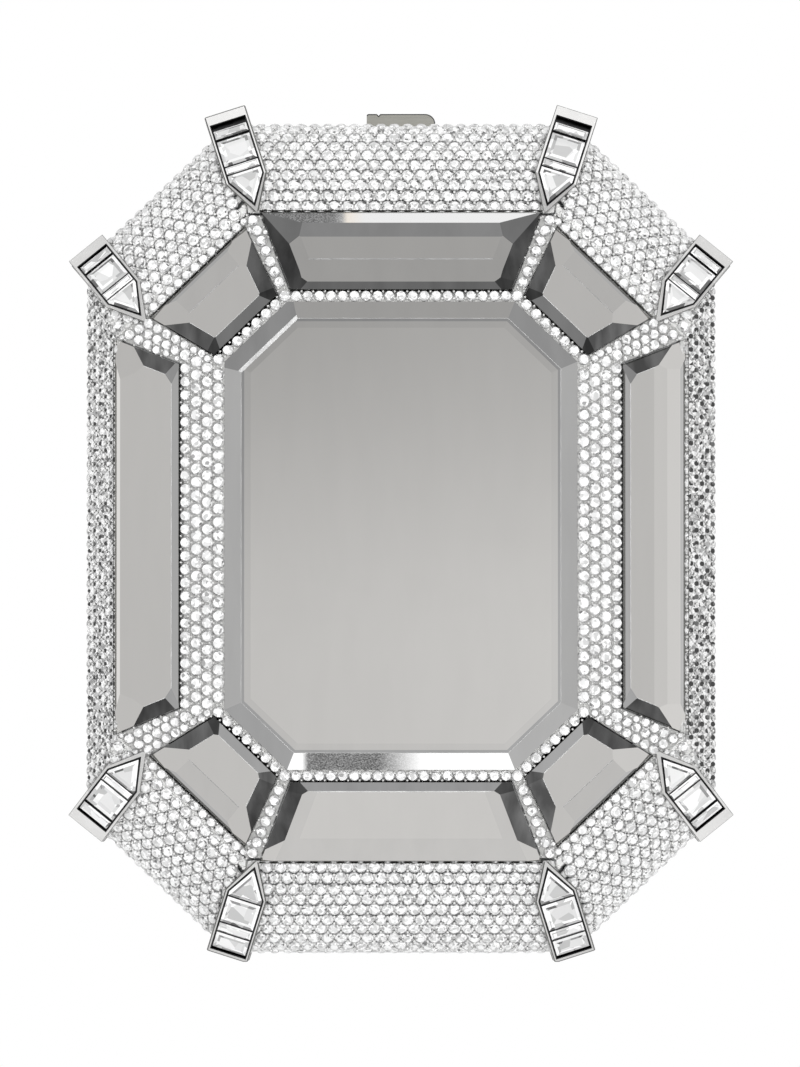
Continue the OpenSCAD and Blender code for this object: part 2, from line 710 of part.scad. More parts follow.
module clasp_tab() {
    back_z = tab_front_z - tab_d;
    color("darkkhaki") upright() {
        translate([0, 0, back_z]) linear_extrude(tab_d) thumb_outline();
        block([-flange_w / 2, flange_w / 2], [flange_top - flange_t, flange_top],
              [back_z, tab_front_z]);
        block([-hook_w / 2, hook_w / 2], [hook_top - hook_t, flange_top - flange_t],
              [tab_mid_z, tab_front_z]);
        block([-hook_w / 2, hook_w / 2], [hook_top - hook_t, hook_top], [tab_mid_z, hook_reach]);
        block([-hook_w / 2, hook_w / 2], [hook_top - hook_t, hook_top + barb_h],
              [hook_reach - barb_t, hook_reach]);
    }
}
module clasp_keeper() {
    color("darkgray") upright() {
        block([-tab_w / 2, tab_w / 2], [rim_face - house_t, rim_face],
              [lip_h + 2 * run_gap, rim_top - run_gap]);
        block([-tab_w / 2, tab_w / 2], [hook_top + barb_h + run_gap, rim_face],
              [hook_reach - barb_t - run_gap - house_t, hook_reach - barb_t - run_gap]);
    }
}
module clasp_housing() {
    z = [tab_front_z - tab_d - run_gap, tab_front_z];
    color("darkgray") upright() difference() {
        union() {
            block([-house_w / 2, house_w / 2], [spring_floor - house_t, spring_floor], z);
            for (side = [-1, 1]) translate([side * house_w / 2, 0, 0]) {
                block([-house_t / 2, house_t / 2], [spring_floor - house_t, rim_face], z);
                block([min(0, side * ear_l), max(0, side * ear_l)], [rim_face - house_t, rim_face], z);
            }
        }
        for (side = [-1, 1]) screw_at(side)
            translate([0, 0, -over]) cylinder(r = screw_r + pin_gap, h = screw_l);
    }
}
module screw_at(side) {
    translate([side * (house_w + ear_l + house_t / 2) / 2, rim_face - house_t, tab_mid_z])
        rotate([-90, 0, 0]) children();
}
module clasp_screws() {
    color("dimgray") upright() for (side = [-1, 1]) screw_at(side) {
        cylinder(r = screw_r, h = screw_l);
        translate([0, 0, -screw_head_h]) cylinder(r = screw_head_r, h = screw_head_h);
    }
}
// A coil swept as one tube
coil_sides = 5;
coil_steps = 10;
module coil(length) {
    steps = spring_turns * coil_steps;
    rise = length - 2 * spring_wire_r;
    rings = [for (i = [0:steps]) let (a = 360 * i / coil_steps)
        [for (k = [0:coil_sides - 1]) let (b = 360 * k / coil_sides,
            r = spring_coil_r + spring_wire_r * cos(b))
            [r * cos(a), r * sin(a), spring_wire_r + rise * i / steps + spring_wire_r * sin(b)]]];
    polyhedron(
        points = [for (r = rings) for (p = r) p],
        faces = concat(
            [[for (k = [0:coil_sides - 1]) k]],
            [for (i = [0:steps - 1], k = [0:coil_sides - 1])
                let (j = (k + 1) % coil_sides, a = i * coil_sides, b = a + coil_sides)
                for (f = [[a + k, b + k, b + j], [a + k, b + j, a + j]]) f],
            [[for (k = [coil_sides - 1:-1:0]) steps * coil_sides + k]]));
}
module clasp_springs() {
    color("dimgray") upright() for (side = [-1, 1])
        translate([side * spring_x, spring_floor, tab_mid_z]) rotate([-90, 0, 0])
            coil(spring_l - pin_gap);
}

front_shell();
front_rim();
front_lining();
rib_setting();
centre_mirror();
top_mirror();
bottom_mirror();
left_mirror();
right_mirror();
upper_left_mirror();
upper_right_mirror();
lower_left_mirror();
lower_right_mirror();
top_pave();
bottom_pave();
left_pave();
right_pave();
upper_left_pave();
upper_right_pave();
lower_left_pave();
lower_right_pave();
top_left_claw();
top_right_claw();
bottom_left_claw();
bottom_right_claw();
left_upper_claw();
left_lower_claw();
right_upper_claw();
right_lower_claw();
claw_baguettes();
front_hinge_leaf();
front_hinge_rivets();
clasp_keeper();
back_shell();
back_rim();
back_lining();
back_plate();
back_pave();
back_claws();
back_baguettes();
back_hinge_leaf();
back_hinge_rivets();
hinge_pin();
clasp_housing();
clasp_screws();
clasp_springs();
clasp_tab();
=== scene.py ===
# %% [markdown]
# # A jewelled minaudiere
# This lesson dresses an evening bag shaped like an emerald-cut stone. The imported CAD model
# gives every solid piece in its place. Blender adds what the eye looks for: some thousands
# of small round stones, mirrors with ground bevels, baguettes in polished claws, and the
# finishes. Everything is in metres, upright, with the front towards -Y.

# %% Load the fixed frame
import math

import bmesh
import bpy
from mathutils import Matrix, Vector


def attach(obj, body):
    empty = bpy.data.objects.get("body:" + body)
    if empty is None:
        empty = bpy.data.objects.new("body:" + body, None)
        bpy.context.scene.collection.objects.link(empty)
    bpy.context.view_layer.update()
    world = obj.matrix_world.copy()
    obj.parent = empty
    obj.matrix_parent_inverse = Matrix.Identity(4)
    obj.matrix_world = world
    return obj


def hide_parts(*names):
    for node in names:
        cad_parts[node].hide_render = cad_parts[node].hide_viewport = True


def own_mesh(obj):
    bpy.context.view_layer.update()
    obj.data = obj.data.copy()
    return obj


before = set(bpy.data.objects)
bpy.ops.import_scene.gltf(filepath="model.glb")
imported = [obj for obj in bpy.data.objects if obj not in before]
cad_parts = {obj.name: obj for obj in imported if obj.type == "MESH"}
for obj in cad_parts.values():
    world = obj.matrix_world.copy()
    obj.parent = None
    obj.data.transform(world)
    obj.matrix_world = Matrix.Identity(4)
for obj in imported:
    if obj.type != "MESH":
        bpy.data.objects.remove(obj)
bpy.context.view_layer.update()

# %% [markdown]
# The bag is easiest to think about in the frame a jeweller would use. It lies on its back:
# x runs to the right, y to the top, and z rises from the seam between the two halves
# towards the viewer, in millimetres. One matrix stands that frame up in the scene. The back
# half is the same kind of shape with z turned round.

# %% The jeweller's frame
SEAM = 4.05
MIDDLE = 84.7
STAND_UP = (Matrix.Translation((0, SEAM / 1000, MIDDLE / 1000))
            @ Matrix.Rotation(math.radians(90), 4, "X") @ Matrix.Scale(0.001, 4))

# The corner cuts all run the same way, so one direction serves for the four of them
CUT = Vector((27.2, 28.4)).normalized()

# Folds of the faceted surface: half width, half height, corner distance, height over the seam
TABLE = (35.1, 46.5, 49.22, 29.4)
RING = (57.0, 64.7, 68.22, 22.0)
GIRDLE = (63.0, 83.2, 84.02, 9.6)
DOME = [(58.62, 70.9, 73.51, 19.4), (60.78, 76.91, 78.65, 15.8), (62.58, 80.43, 81.65, 12.82)]
RIM_TOP = 5.65
PLATE = (41.0, 61.2, 62.02, 21.6)
STEEP = (57.0, 77.2, 78.02, 16.2)
FRONT_FOLDS = [TABLE, RING, *DOME, GIRDLE]
BACK_FOLDS = [PLATE, STEEP, GIRDLE]


def eight_corners(fold, grow=0.0):
    """Corners of an octagon, anticlockwise from the lower end of its right side."""
    w, h, c = (v + grow for v in fold[:3])
    x, y = (c - CUT.y * h) / CUT.x, (c - CUT.x * w) / CUT.y
    return [Vector(p) for p in ((w, -y), (w, y), (x, h), (-x, h), (-w, y), (-w, -y), (-x, -h), (x, -h))]


def crown_height(p):
    """Height of the front half's surface over the seam at a point of the front view."""
    reach = (abs(p[0]), abs(p[1]), CUT.x * abs(p[0]) + CUT.y * abs(p[1]))

    def along(i):
        for a, b in zip(FRONT_FOLDS, FRONT_FOLDS[1:]):
            if reach[i] <= b[i]:
                share = max(0.0, (reach[i] - a[i]) / (b[i] - a[i]))
                return a[3] + share * (b[3] - a[3])
        return FRONT_FOLDS[-1][3]
    return min(along(0), along(1), along(2))


print("ring of mirrors", [tuple(round(v, 1) for v in p) for p in eight_corners(RING)[:3]])

# %% [markdown]
# A finish is more than one colour. Each of these materials starts from a Principled shader
# and gets its own fine variation from noise on Object coordinates, so it stays with the
# piece from every side. A few small helpers keep the node trees short enough to read.


# %% Helpers for node trees
def feed(tree, socket, value):
    """Links another node's output to a socket, or sets the socket to a plain value."""
    if isinstance(value, bpy.types.NodeSocket):
        tree.links.new(value, socket)
    else:
        socket.default_value = value


def tune(tree, node, **values):
    """Sets a node's options and feeds its sockets by name."""
    for key, value in values.items():
        if hasattr(node, key):
            setattr(node, key, value)
        else:
            feed(tree, node.inputs[key.replace("_", " ")], value)
    return node


def add(tree, kind, **values):
    return tune(tree, tree.nodes.new(kind), **values)


def new_material(name):
    material = bpy.data.materials.new(name)
    material.use_nodes = True
    return material, material.node_tree, material.node_tree.nodes["Principled BSDF"]


def reckon(tree, operation, a, b=0.0):
    node = add(tree, "ShaderNodeMath", operation=operation)
    for socket, value in zip(node.inputs, (a, b)):
        feed(tree, socket, value)
    return node.outputs[0]


def object_place(tree):
    return add(tree, "ShaderNodeTexCoord").outputs["Object"]


def noise(tree, scale, detail=2.0, stretch=(1, 1, 1), turn=(0, 0, 0)):
    """Noise on Object coordinates; scale counts the lumps in a metre."""
    mapping = add(tree, "ShaderNodeMapping", Vector=object_place(tree), Scale=stretch, Rotation=turn)
    return add(tree, "ShaderNodeTexNoise", Vector=mapping.outputs["Vector"], Scale=scale,
               Detail=detail).outputs["Fac"]


def ramp(tree, source, stops, interpolation="LINEAR"):
    """A colour ramp; a stop is a place and a grey, or a place and a colour."""
    node = add(tree, "ShaderNodeValToRGB", Fac=source)
    node.color_ramp.interpolation = interpolation
    elements = node.color_ramp.elements
    while len(elements) < len(stops):
        elements.new(0.5)
    for element, (place, colour) in zip(elements, stops):
        element.position = place
        element.color = (*colour, 1) if isinstance(colour, tuple) else (colour, colour, colour, 1)
    return node.outputs["Color"]


def bump(tree, height, strength, distance):
    return add(tree, "ShaderNodeBump", Height=height, Strength=strength,
               Distance=distance).outputs["Normal"]


# %% [markdown]
# Silvered glass is nearly a perfect mirror. What gives it away are faint smears, which
# spread the reflection a little here and there. Ground bevels send the light elsewhere; here
# each bevel is the same silvered glass with a painted reflection, a brightness set facet by
# facet from pale to nearly black, with streaks where the silvering ends. So one recipe makes
# the flats and every bevel: how bright it is painted, how much it streaks, how warm it is and
# how rough. Where two facets meet, the wheel leaves a thin matt arris.


# %% Silvered glass
def silvered_glass(name, bright, streak, warm=0.0, rough=0.03):
    material, tree, shader = new_material(name)
    tint = (1.0, 1.0 - 0.4 * warm, 1.0 - warm)
    low, high = bright * (1 - streak), bright * (1 + 0.6 * streak)
    colour = ramp(tree, noise(tree, 240, 4.0, (1, 1, 0.25), (0.3, 0.5, 0.2)), [
        (0.34, tuple(low * t for t in tint)), (0.66, tuple(min(1.0, high) * t for t in tint))])
    smear = ramp(tree, noise(tree, 55, 3.0, (1, 1, 2.5)), [(0.4, rough * 0.6), (0.75, rough * 1.7)])
    tune(tree, shader, Metallic=1.0, Base_Color=colour, Roughness=smear)
    return material


def frosted_arris(name, low, high):
    """The thin pale line where two ground facets meet and the wheel leaves the glass matt."""
    material, tree, shader = new_material(name)
    tune(tree, shader, Base_Color=ramp(tree, noise(tree, 400), [(0.35, low), (0.65, high)]), Roughness=0.5)
    return material


def lighter(tone):
    """A tone a third of the way to white, for the bright grains of a speckled bevel."""
    return tuple(0.33 + 0.67 * c for c in tone) if isinstance(tone, tuple) else 0.33 + 0.67 * tone


def painted_flare_bevel(name, stops, half=0.028):
    """A bevel with a painted highlight: white along part of its length, where a lamp's reflection
    is painted; the rest is grey and finely speckled. The stops run along x, from -half to half, in metres."""
    material, tree, shader = new_material(name)
    axes = add(tree, "ShaderNodeSeparateXYZ", Vector=object_place(tree))
    length = add(tree, "ShaderNodeMapRange", Value=axes.outputs["X"], From_Min=-half,
                 From_Max=half).outputs["Result"]
    grain = ramp(tree, noise(tree, 6500, 3.0, (0.5, 1, 1)), [(0.42, 0.0), (0.64, 1.0)])
    mix = add(tree, "ShaderNodeMix", data_type="RGBA", Factor=grain)
    plain, bright = (s for s in mix.inputs if s.type == "RGBA")
    tree.links.new(ramp(tree, length, stops), plain)
    tree.links.new(ramp(tree, length, [(p, lighter(c)) for p, c in stops]), bright)
    mixed = next(s for s in mix.outputs if s.type == "RGBA")
    tune(tree, shader, Metallic=1.0, Base_Color=mixed, Roughness=0.08)
    return material


# painted reflections: the bevel finishes are one silvered glass painted in different brightnesses, and the
# two flaring ones carry a painted highlight
GLASS = {
    "flat": silvered_glass("mirror_flat", 0.97, 0.01, 0.045),
    "pale": silvered_glass("mirror_pale_bevel", 0.92, 0.02, 0.04),
    "bevel": silvered_glass("mirror_bevel", 0.8, 0.03, 0.01),
    "soft": silvered_glass("mirror_soft_bevel", 0.64, 0.05),
    "mid": silvered_glass("mirror_mid_bevel", 0.55, 0.08),
    "grey": silvered_glass("mirror_grey_bevel", 0.45, 0.08),
    "strip": silvered_glass("mirror_inner_strip", 0.33, 0.12, rough=0.05),
    "shade": silvered_glass("mirror_shaded_bevel", 0.26, 0.45, rough=0.06),
    "deep": silvered_glass("mirror_deep_bevel", 0.15, 0.6, rough=0.08),
    "notch": silvered_glass("mirror_notch", 0.12, 0.5, rough=0.1),
    "arris": frosted_arris("mirror_arris", 0.46, 0.64),
    "faint": frosted_arris("mirror_faint_arris", 0.27, 0.38),
    "flare": painted_flare_bevel("mirror_flaring_bevel", [
        (0.0, 0.11), (0.26, 0.17), (0.29, 0.4), (0.31, (1.0, 0.92, 0.82)), (0.37, 0.97), (1.0, 1.0)]),
    "foot_flare": painted_flare_bevel("mirror_painted_flare_foot_bevel", [
        (0.0, 1.0), (0.15, 1.0), (0.17, 0.1), (0.42, 0.08), (0.5, 0.5), (0.58, 1.0), (1.0, 1.0)]),
}
print(len(GLASS), "mirror finishes")

# %% [markdown]
# Polished silver plate is bright, and its flats are never quite flat: a slow swell in the
# normal bends the reflections. Steel, the satin tab and the brushed shells share the recipe,
# with a brushed grain in place of the swell.


# %% Metals
def metal(name, colour, rough, swell=0.0, grain=0.0, along=(1, 1, 1), metallic=1.0):
    material, tree, shader = new_material(name)
    worn = ramp(tree, noise(tree, 160, 4.0), [(0.3, tuple(c * 0.94 for c in colour)), (0.6, colour)])
    scratch = noise(tree, 900, 2.0, along)
    tune(tree, shader, Metallic=metallic, Base_Color=worn,
         Roughness=ramp(tree, scratch, [(0.3, rough * 0.7), (0.7, rough * 1.4)]))
    if swell:
        tune(tree, shader, Normal=bump(tree, noise(tree, 120, 1.0), swell, 0.0006))
    if grain:
        tune(tree, shader, Normal=bump(tree, scratch, grain, 0.0001))
    return material


SILVER = metal("polished_silver", (0.95, 0.945, 0.935), 0.09, swell=0.12, metallic=0.82)
# painted shade: a dark metal for the claws' sideways flanks and their bevelled edges
FLANK_PAINTED_SHADE = metal("claw_flank_painted_shade", (0.24, 0.24, 0.235), 0.2, swell=0.1)
BEZEL_METAL = metal("bezel_metal", (0.52, 0.52, 0.51), 0.2)
BED_METAL = metal("stone_bed_metal", (0.9, 0.9, 0.89), 0.4, grain=0.3, metallic=0.3)
RIB_BED_METAL = metal("rib_bed_metal", (0.6, 0.6, 0.59), 0.4, grain=0.3, metallic=0.3)
BEAD_METAL = metal("bead_metal", (0.95, 0.95, 0.94), 0.2, metallic=0.5)
# painted shade: a near-black metal for the inside of the claws' channels
CHANNEL_PAINTED_SHADE = metal("claw_channel_painted_shade", (0.06, 0.06, 0.062), 0.35)
TAB_METAL = metal("satin_tab_metal", (0.8, 0.79, 0.72), 0.3, grain=0.35, along=(0.05, 1, 1))
TAB_EDGE = metal("tab_top_edge", (0.05, 0.05, 0.05), 0.3, grain=0.2, along=(0.05, 1, 1))
STEEL = metal("steel", (0.62, 0.62, 0.63), 0.25, grain=0.2)
PLATE_METAL = metal("back_plate_silver", (0.58, 0.58, 0.575), 0.2, grain=0.25, along=(1, 1, 0.03))
BRUSHED = metal("brushed_shell", (0.76, 0.77, 0.78), 0.34, grain=0.4, along=(0.04, 1, 1))
print("metals", [m.name for m in (SILVER, BED_METAL, CHANNEL_PAINTED_SHADE, TAB_METAL, STEEL, BRUSHED)])

# %% [markdown]
# A small foiled stone throws light back from dozens of inner facets, so up close it is a
# patchwork of white, pale grey and the odd black. Tracing that through real glass would take
# far too long for thousands of stones. A cell texture paints each patch its own tone instead,
# a painted reflection of the inner facets, under a clear, glossy coat, and the stone's own
# facets carry the reflections. The tables of the dotted stones at the two sides are painted
# mostly dark: a painted reflection of the dark that these steeply seen stones show.


# %% Crystal
def crystal(name, cell, tones, gloss, sheen=0.6):
    """Patches about cell mm wide, in tones from the dark ones up, each with its own gloss."""
    material, tree, shader = new_material(name)
    cells = add(tree, "ShaderNodeTexVoronoi", Vector=object_place(tree), Scale=1000 / cell)
    patch = add(tree, "ShaderNodeSeparateColor", Color=cells.outputs["Color"])
    tune(tree, shader, Base_Color=ramp(tree, patch.outputs["Red"], tones, "CONSTANT"),
         Roughness=ramp(tree, patch.outputs["Green"], [(0.0, gloss * 0.5), (1.0, gloss * 1.5)]),
         Specular_IOR_Level=sheen + 0.2, Coat_Weight=sheen, Coat_Roughness=0.04)
    return material


# painted shade: the girdle and wall are painted darker than the table, so they read as a dark outline
GIRDLE_PAINTED_SHADE = crystal("pave_girdle_painted_shade", 0.5, [(0.0, 0.3), (0.3, 0.46), (0.7, 0.66)], 0.2)
PAVE = [
    crystal("pave_table", 0.7, [(0.0, 0.34), (0.03, 0.56), (0.2, 0.72), (0.45, 0.92)], 0.12),
    crystal("pave_crown", 0.5, [(0.0, 0.16), (0.06, 0.4), (0.22, 0.6), (0.45, 0.76), (0.66, 0.93)], 0.14),
    GIRDLE_PAINTED_SHADE,
    # painted shade: the dark crown facets at the lower left of the crescent stones
    crystal("pave_painted_shade_facet", 0.8, [(0.0, 0.02), (0.5, 0.1), (0.8, 0.4)], 0.1),
]
# painted dark reflections: the side bands' stones are painted darker, for the dark they show when seen
# steeply
PAVE_DOTTED_PAINTED_DARK = [
    crystal("pave_table_dotted_painted_dark", 1.8, [(0.0, 0.006), (0.62, 0.1), (0.77, 0.4), (0.88, 0.85)], 0.12, 0.1),
    crystal("pave_crown_dotted_painted_dark", 0.6, [(0.0, 0.08), (0.14, 0.3), (0.3, 0.5), (0.55, 0.85)], 0.14),
    GIRDLE_PAINTED_SHADE,
]
# painted reflections: the sides and foot of the steps are painted darker, the large tables painted like a
# window
BAGUETTE = [
    crystal("baguette_crystal", 2.6, [(0.0, 0.55), (0.16, 0.8), (0.4, 0.95)], 0.06),
    crystal("baguette_side", 2.0, [(0.0, 0.4), (0.35, 0.68), (0.7, 0.88)], 0.1),
    crystal("baguette_foot_painted_shade", 2.4, [(0.0, 0.1), (0.3, 0.26), (0.65, 0.5)], 0.1),
    crystal("baguette_window_painted_reflection", 3.4, [(0.0, 0.5), (0.2, 0.66), (0.5, 0.74), (0.8, 0.9)], 0.05),
]
print("crystals", [m.name for m in (*PAVE, *PAVE_DOTTED_PAINTED_DARK, *BAGUETTE)])

# %% [markdown]
# Inside, the bag is lined with a short-napped suede. Nap is two scales of noise: soft clouds
# where it has been stroked one way or the other, and a fine grain that catches the light.


# %% Lining
def suede(name, colour):
    material, tree, shader = new_material(name)
    dark, light = (tuple(c * share for c in colour) for share in (0.93, 1.07))
    tune(tree, shader, Base_Color=ramp(tree, noise(tree, 45, 3.0), [(0.35, dark), (0.65, light)]),
         Roughness=0.92, Sheen_Weight=0.5, Sheen_Roughness=0.4,
         Normal=bump(tree, noise(tree, 3200), 0.4, 0.0002))
    return material


LINING = suede("lining_suede", (0.24, 0.235, 0.23))
print("lining", LINING.name)

# %% [markdown]
# Pieces are shaped with bmesh in the jeweller's frame, and stood up at the very end. One
# function does that last step for all of them: it turns the normals outward, names the
# piece, gives it its finishes, and tells the frame which body carries it.


# %% Hand a shaped piece over
def new_object(bm, name):
    mesh = bpy.data.meshes.new(name)
    bm.to_mesh(mesh)
    bm.free()
    piece = bpy.data.objects.new(name, mesh)
    bpy.context.scene.collection.objects.link(piece)
    return piece


def hand_over(bm, name, finishes, body, stands_for=(), place=STAND_UP, smooth=False):
    """Pieces that come from the CAD already stand in the scene, in metres, and have place None."""
    if place is not None:
        bmesh.ops.transform(bm, matrix=place, verts=bm.verts)
    bmesh.ops.recalc_face_normals(bm, faces=bm.faces)
    piece = new_object(bm, name)
    for finish in finishes:
        piece.data.materials.append(finish)
    piece.data.polygons.foreach_set("use_smooth", [smooth] * len(piece.data.polygons))
    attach(piece, body)
    if stands_for:
        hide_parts(*stands_for)
    print(name, len(piece.data.polygons), "faces")
    return piece


def merged_copy(node):
    """A CAD node's mesh, in metres, with its loose triangles joined into clean faces."""
    bm = bmesh.new()
    bm.from_mesh(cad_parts[node].data)
    bmesh.ops.remove_doubles(bm, verts=bm.verts, dist=2e-6)
    bmesh.ops.dissolve_limit(bm, angle_limit=math.radians(0.8), verts=bm.verts, edges=bm.edges)
    return bm


HEART = Vector((0, SEAM / 1000, MIDDLE / 1000))


def faces_out(face):
    """1 for a face that looks straight away from the heart of the bag, -1 for one that looks at it."""
    return face.normal.dot((face.calc_center_median() - HEART).normalized())


def new_verts(made):
    return [g for g in made["geom"] if isinstance(g, bmesh.types.BMVert)]


# %% [markdown]
# ## Mirrors
# A bevelled mirror is ground on a wheel: the glass is pressed against a flat stone at an
# angle, and each pass leaves one flat facet. Cutting a block with planes does the same thing
# and gives the same crisp corners. Every pass is an edge, how far in from it the cut starts,
# its angle, and the finish that it leaves.


# %% Grinding a block of glass
TONES = list(GLASS)


def glass_block(outline, thick, proud):
    """A block over an outline, its top at z = proud."""
    bm = bmesh.new()
    face = bm.faces.new([bm.verts.new((p[0], p[1], proud - thick)) for p in outline])
    grown = bmesh.ops.extrude_face_region(bm, geom=[face], use_keep_orig=True)
    bmesh.ops.translate(bm, verts=new_verts(grown), vec=(0, 0, thick))
    bmesh.ops.recalc_face_normals(bm, faces=bm.faces)
    return bm


def grind(bm, at, height, out, lean, tone):
    """One pass: takes away all that lies beyond a plane and leaves a facet there. The plane goes
    through a point at some height, and leans from level towards out."""
    slant = (out.x * math.sin(lean), out.y * math.sin(lean), math.cos(lean))
    cut = bmesh.ops.bisect_plane(bm, geom=bm.verts[:] + bm.edges[:] + bm.faces[:], dist=1e-5,
                                 plane_co=(at.x, at.y, height), plane_no=slant, clear_outer=True)
    rim = [g for g in cut["geom_cut"] if isinstance(g, bmesh.types.BMEdge)]
    for face in bmesh.ops.edgeloop_fill(bm, edges=rim)["faces"]:
        face.material_index = TONES.index(tone)


def grind_edge(bm, outline, edge, wide, tone, foot, start=0.0):
    """One pass along an edge: wide from it the cut is start deep, at the edge it is foot deep."""
    a, b = Vector(outline[edge]), Vector(outline[(edge + 1) % len(outline)])
    run = (b - a).normalized()
    out = Vector((run.y, -run.x))
    grind(bm, a - out * wide, PROUD - start, out, math.atan2(foot - start, wide), tone)


def bevel_edge(bm, outline, edge, wide, tone, foot, arris=0.2):
    """A bevel with the matt arris that the wheel leaves at its inner side."""
    step = 0.15 * arris
    grind_edge(bm, outline, edge, wide + arris, "arris", (wide + arris) * step / arris)
    grind_edge(bm, outline, edge, wide, tone, foot, step)


def grind_corner(bm, outline, corner, far, tone, foot):
    """One pass across a corner, square to the line that halves it, foot deep at the corner."""
    here = Vector(outline[corner])
    into = ((Vector(outline[corner - 1]) - here).normalized()
            + (Vector(outline[(corner + 1) % len(outline)]) - here).normalized()).normalized()
    grind(bm, here + into * far, PROUD, -into, math.atan2(foot, far), tone)


# %% [markdown]
# The centre mirror has eight edges and a bevel 3.3 mm wide. Two shallow passes inside the
# bevel leave the fine pale lines that follow it round. Each bevel's tone is a painted
# reflection. The bevel at the foot faces the bright table and has a painted highlight: it is
# painted white at both ends, with finely speckled grey between. The upper left corner is
# ground once more, which leaves it a broad pale arris and a bevel painted darker.

# %% Centre mirror
PROUD = 0.295
CENTRE_THICK, CENTRE_BEVEL, CENTRE_DEPTH = 1.9, 3.3, 0.85
UPPER_LEFT = 3
TABLE_OUTLINE = eight_corners(TABLE, -0.12)
bm = glass_block(TABLE_OUTLINE, CENTRE_THICK, PROUD)
# painted reflections: each edge's bevel gets its own painted tone, and the foot's a painted highlight
for edge, tone in enumerate(["bevel", "soft", "pale", "soft", "bevel", "soft", "foot_flare", "bevel"]):
    grind_edge(bm, TABLE_OUTLINE, edge, 5.2, "pale", 0.03)
    grind_edge(bm, TABLE_OUTLINE, edge, 3.9, "soft", 0.1, 0.008)
    bevel_edge(bm, TABLE_OUTLINE, edge, CENTRE_BEVEL, tone, CENTRE_DEPTH)
grind_edge(bm, TABLE_OUTLINE, UPPER_LEFT, 4.0, "arris", 0.9)
grind_edge(bm, TABLE_OUTLINE, UPPER_LEFT, 3.2, "mid", CENTRE_DEPTH + 0.25, 0.18)
hand_over(bm, "centre_mirror_glass", [GLASS[t] for t in TONES], "lid", ["centre_mirror"],
          STAND_UP @ Matrix.Translation((0, 0, TABLE[3])))

# %% [markdown]
# The eight mirrors round it lie on the crown's sloping facets. Each facet has a frame of its
# own, with x along it and y down its slope, and the outline of each mirror follows the hips
# of the crown, set in by the width of the stone-set ribs.


# %% Frames and outlines of the ring mirrors
def facet_frame(turn, inner, tilt):
    return (Matrix.Translation((0, 0, TABLE[3])) @ Matrix.Rotation(turn, 4, "Z")
            @ Matrix.Translation((0, inner, 0)) @ Matrix.Rotation(-tilt, 4, "X"))


def ring_outline(inner_l, outer_l, wide, from_in, to_out, tilt, left, right):
    """Inner left, inner right, outer right and outer left corners, in the facet's frame."""
    a, b = from_in / wide, 1 - to_out / wide
    l, r = ([inner_l[i] + s * (outer_l[i] - inner_l[i]) for s in (a, b)] for i in (0, 1))
    y0, y1 = a * wide / math.cos(tilt), b * wide / math.cos(tilt)
    return [(l[0] + left[0], y0), (r[0] - right[0], y0), (r[1] - right[1], y1), (l[1] + left[1], y1)]


def along_cut(p):
    return CUT.y * p.x - CUT.x * p.y


table_c, ring_c = eight_corners(TABLE), eight_corners(RING)
SIDE_TILT, END_TILT, CUT_TILT = (math.atan((TABLE[3] - RING[3]) / (RING[i] - TABLE[i])) for i in range(3))
END_OUTLINE = ring_outline((-table_c[2].x, table_c[2].x), (-ring_c[2].x, ring_c[2].x),
                           18.2, 2.5, 0, END_TILT, (1.9, 3.2), (1.9, 3.2))
SIDE_OUTLINE = ring_outline((-table_c[1].y, table_c[1].y), (-ring_c[1].y, ring_c[1].y),
                            21.9, 9.1, 0, SIDE_TILT, (2.7, 0.7), (2.7, 0.7))
CUT_OUTLINE = ring_outline((along_cut(table_c[2]), along_cut(table_c[1])),
                           (along_cut(ring_c[2]), along_cut(ring_c[1])),
                           19.0, 2.5, 2.3, CUT_TILT, (1.4, 1.5), (1.1, 6.4))
MIRRORS = {
    "top": (facet_frame(0, TABLE[1], END_TILT), END_OUTLINE, END_TILT),
    "bottom": (facet_frame(math.pi, TABLE[1], END_TILT), END_OUTLINE, END_TILT),
    "left": (facet_frame(math.pi / 2, TABLE[0], SIDE_TILT), SIDE_OUTLINE, SIDE_TILT),
    "right": (facet_frame(-math.pi / 2, TABLE[0], SIDE_TILT), SIDE_OUTLINE, SIDE_TILT),
}
corner_frame = facet_frame(-math.atan2(CUT.x, CUT.y), TABLE[2], CUT_TILT)
for which, flip in (("upper_right", (1, 1)), ("upper_left", (-1, 1)),
                    ("lower_right", (1, -1)), ("lower_left", (-1, -1))):
    MIRRORS[which] = (Matrix.Diagonal((*flip, 1, 1)) @ corner_frame, CUT_OUTLINE, CUT_TILT)
for which, (_, outline, _) in MIRRORS.items():
    print(which, [tuple(round(v, 1) for v in p) for p in outline])

# %% [markdown]
# Every bevel of a ring mirror reaches the same depth at the edge, so the hips between them
# run out exactly at the corners. The outer bevel is broad and gentle, and hardly darker than
# the flat. The slanted ends are painted nearly black, a painted reflection of shade, and each
# ends at the inner corner in a small notch of its own. The two outer corners are cut back by
# one long pass. The finishes in these tables are painted reflections, each a brightness of the
# same silvered glass, and the top mirror's outer facet carries a painted highlight. The first
# table says it mirror by mirror: how wide and in which finish the inner edge, the right end and
# the left end are ground. The second gives the long narrow facets along the outer edge: how
# far in each starts, how many degrees it leans further out than the last, and its finish.
# The third gives the outer corners: how far in the pass starts, its finish, and how much
# deeper than the bevel it ends.

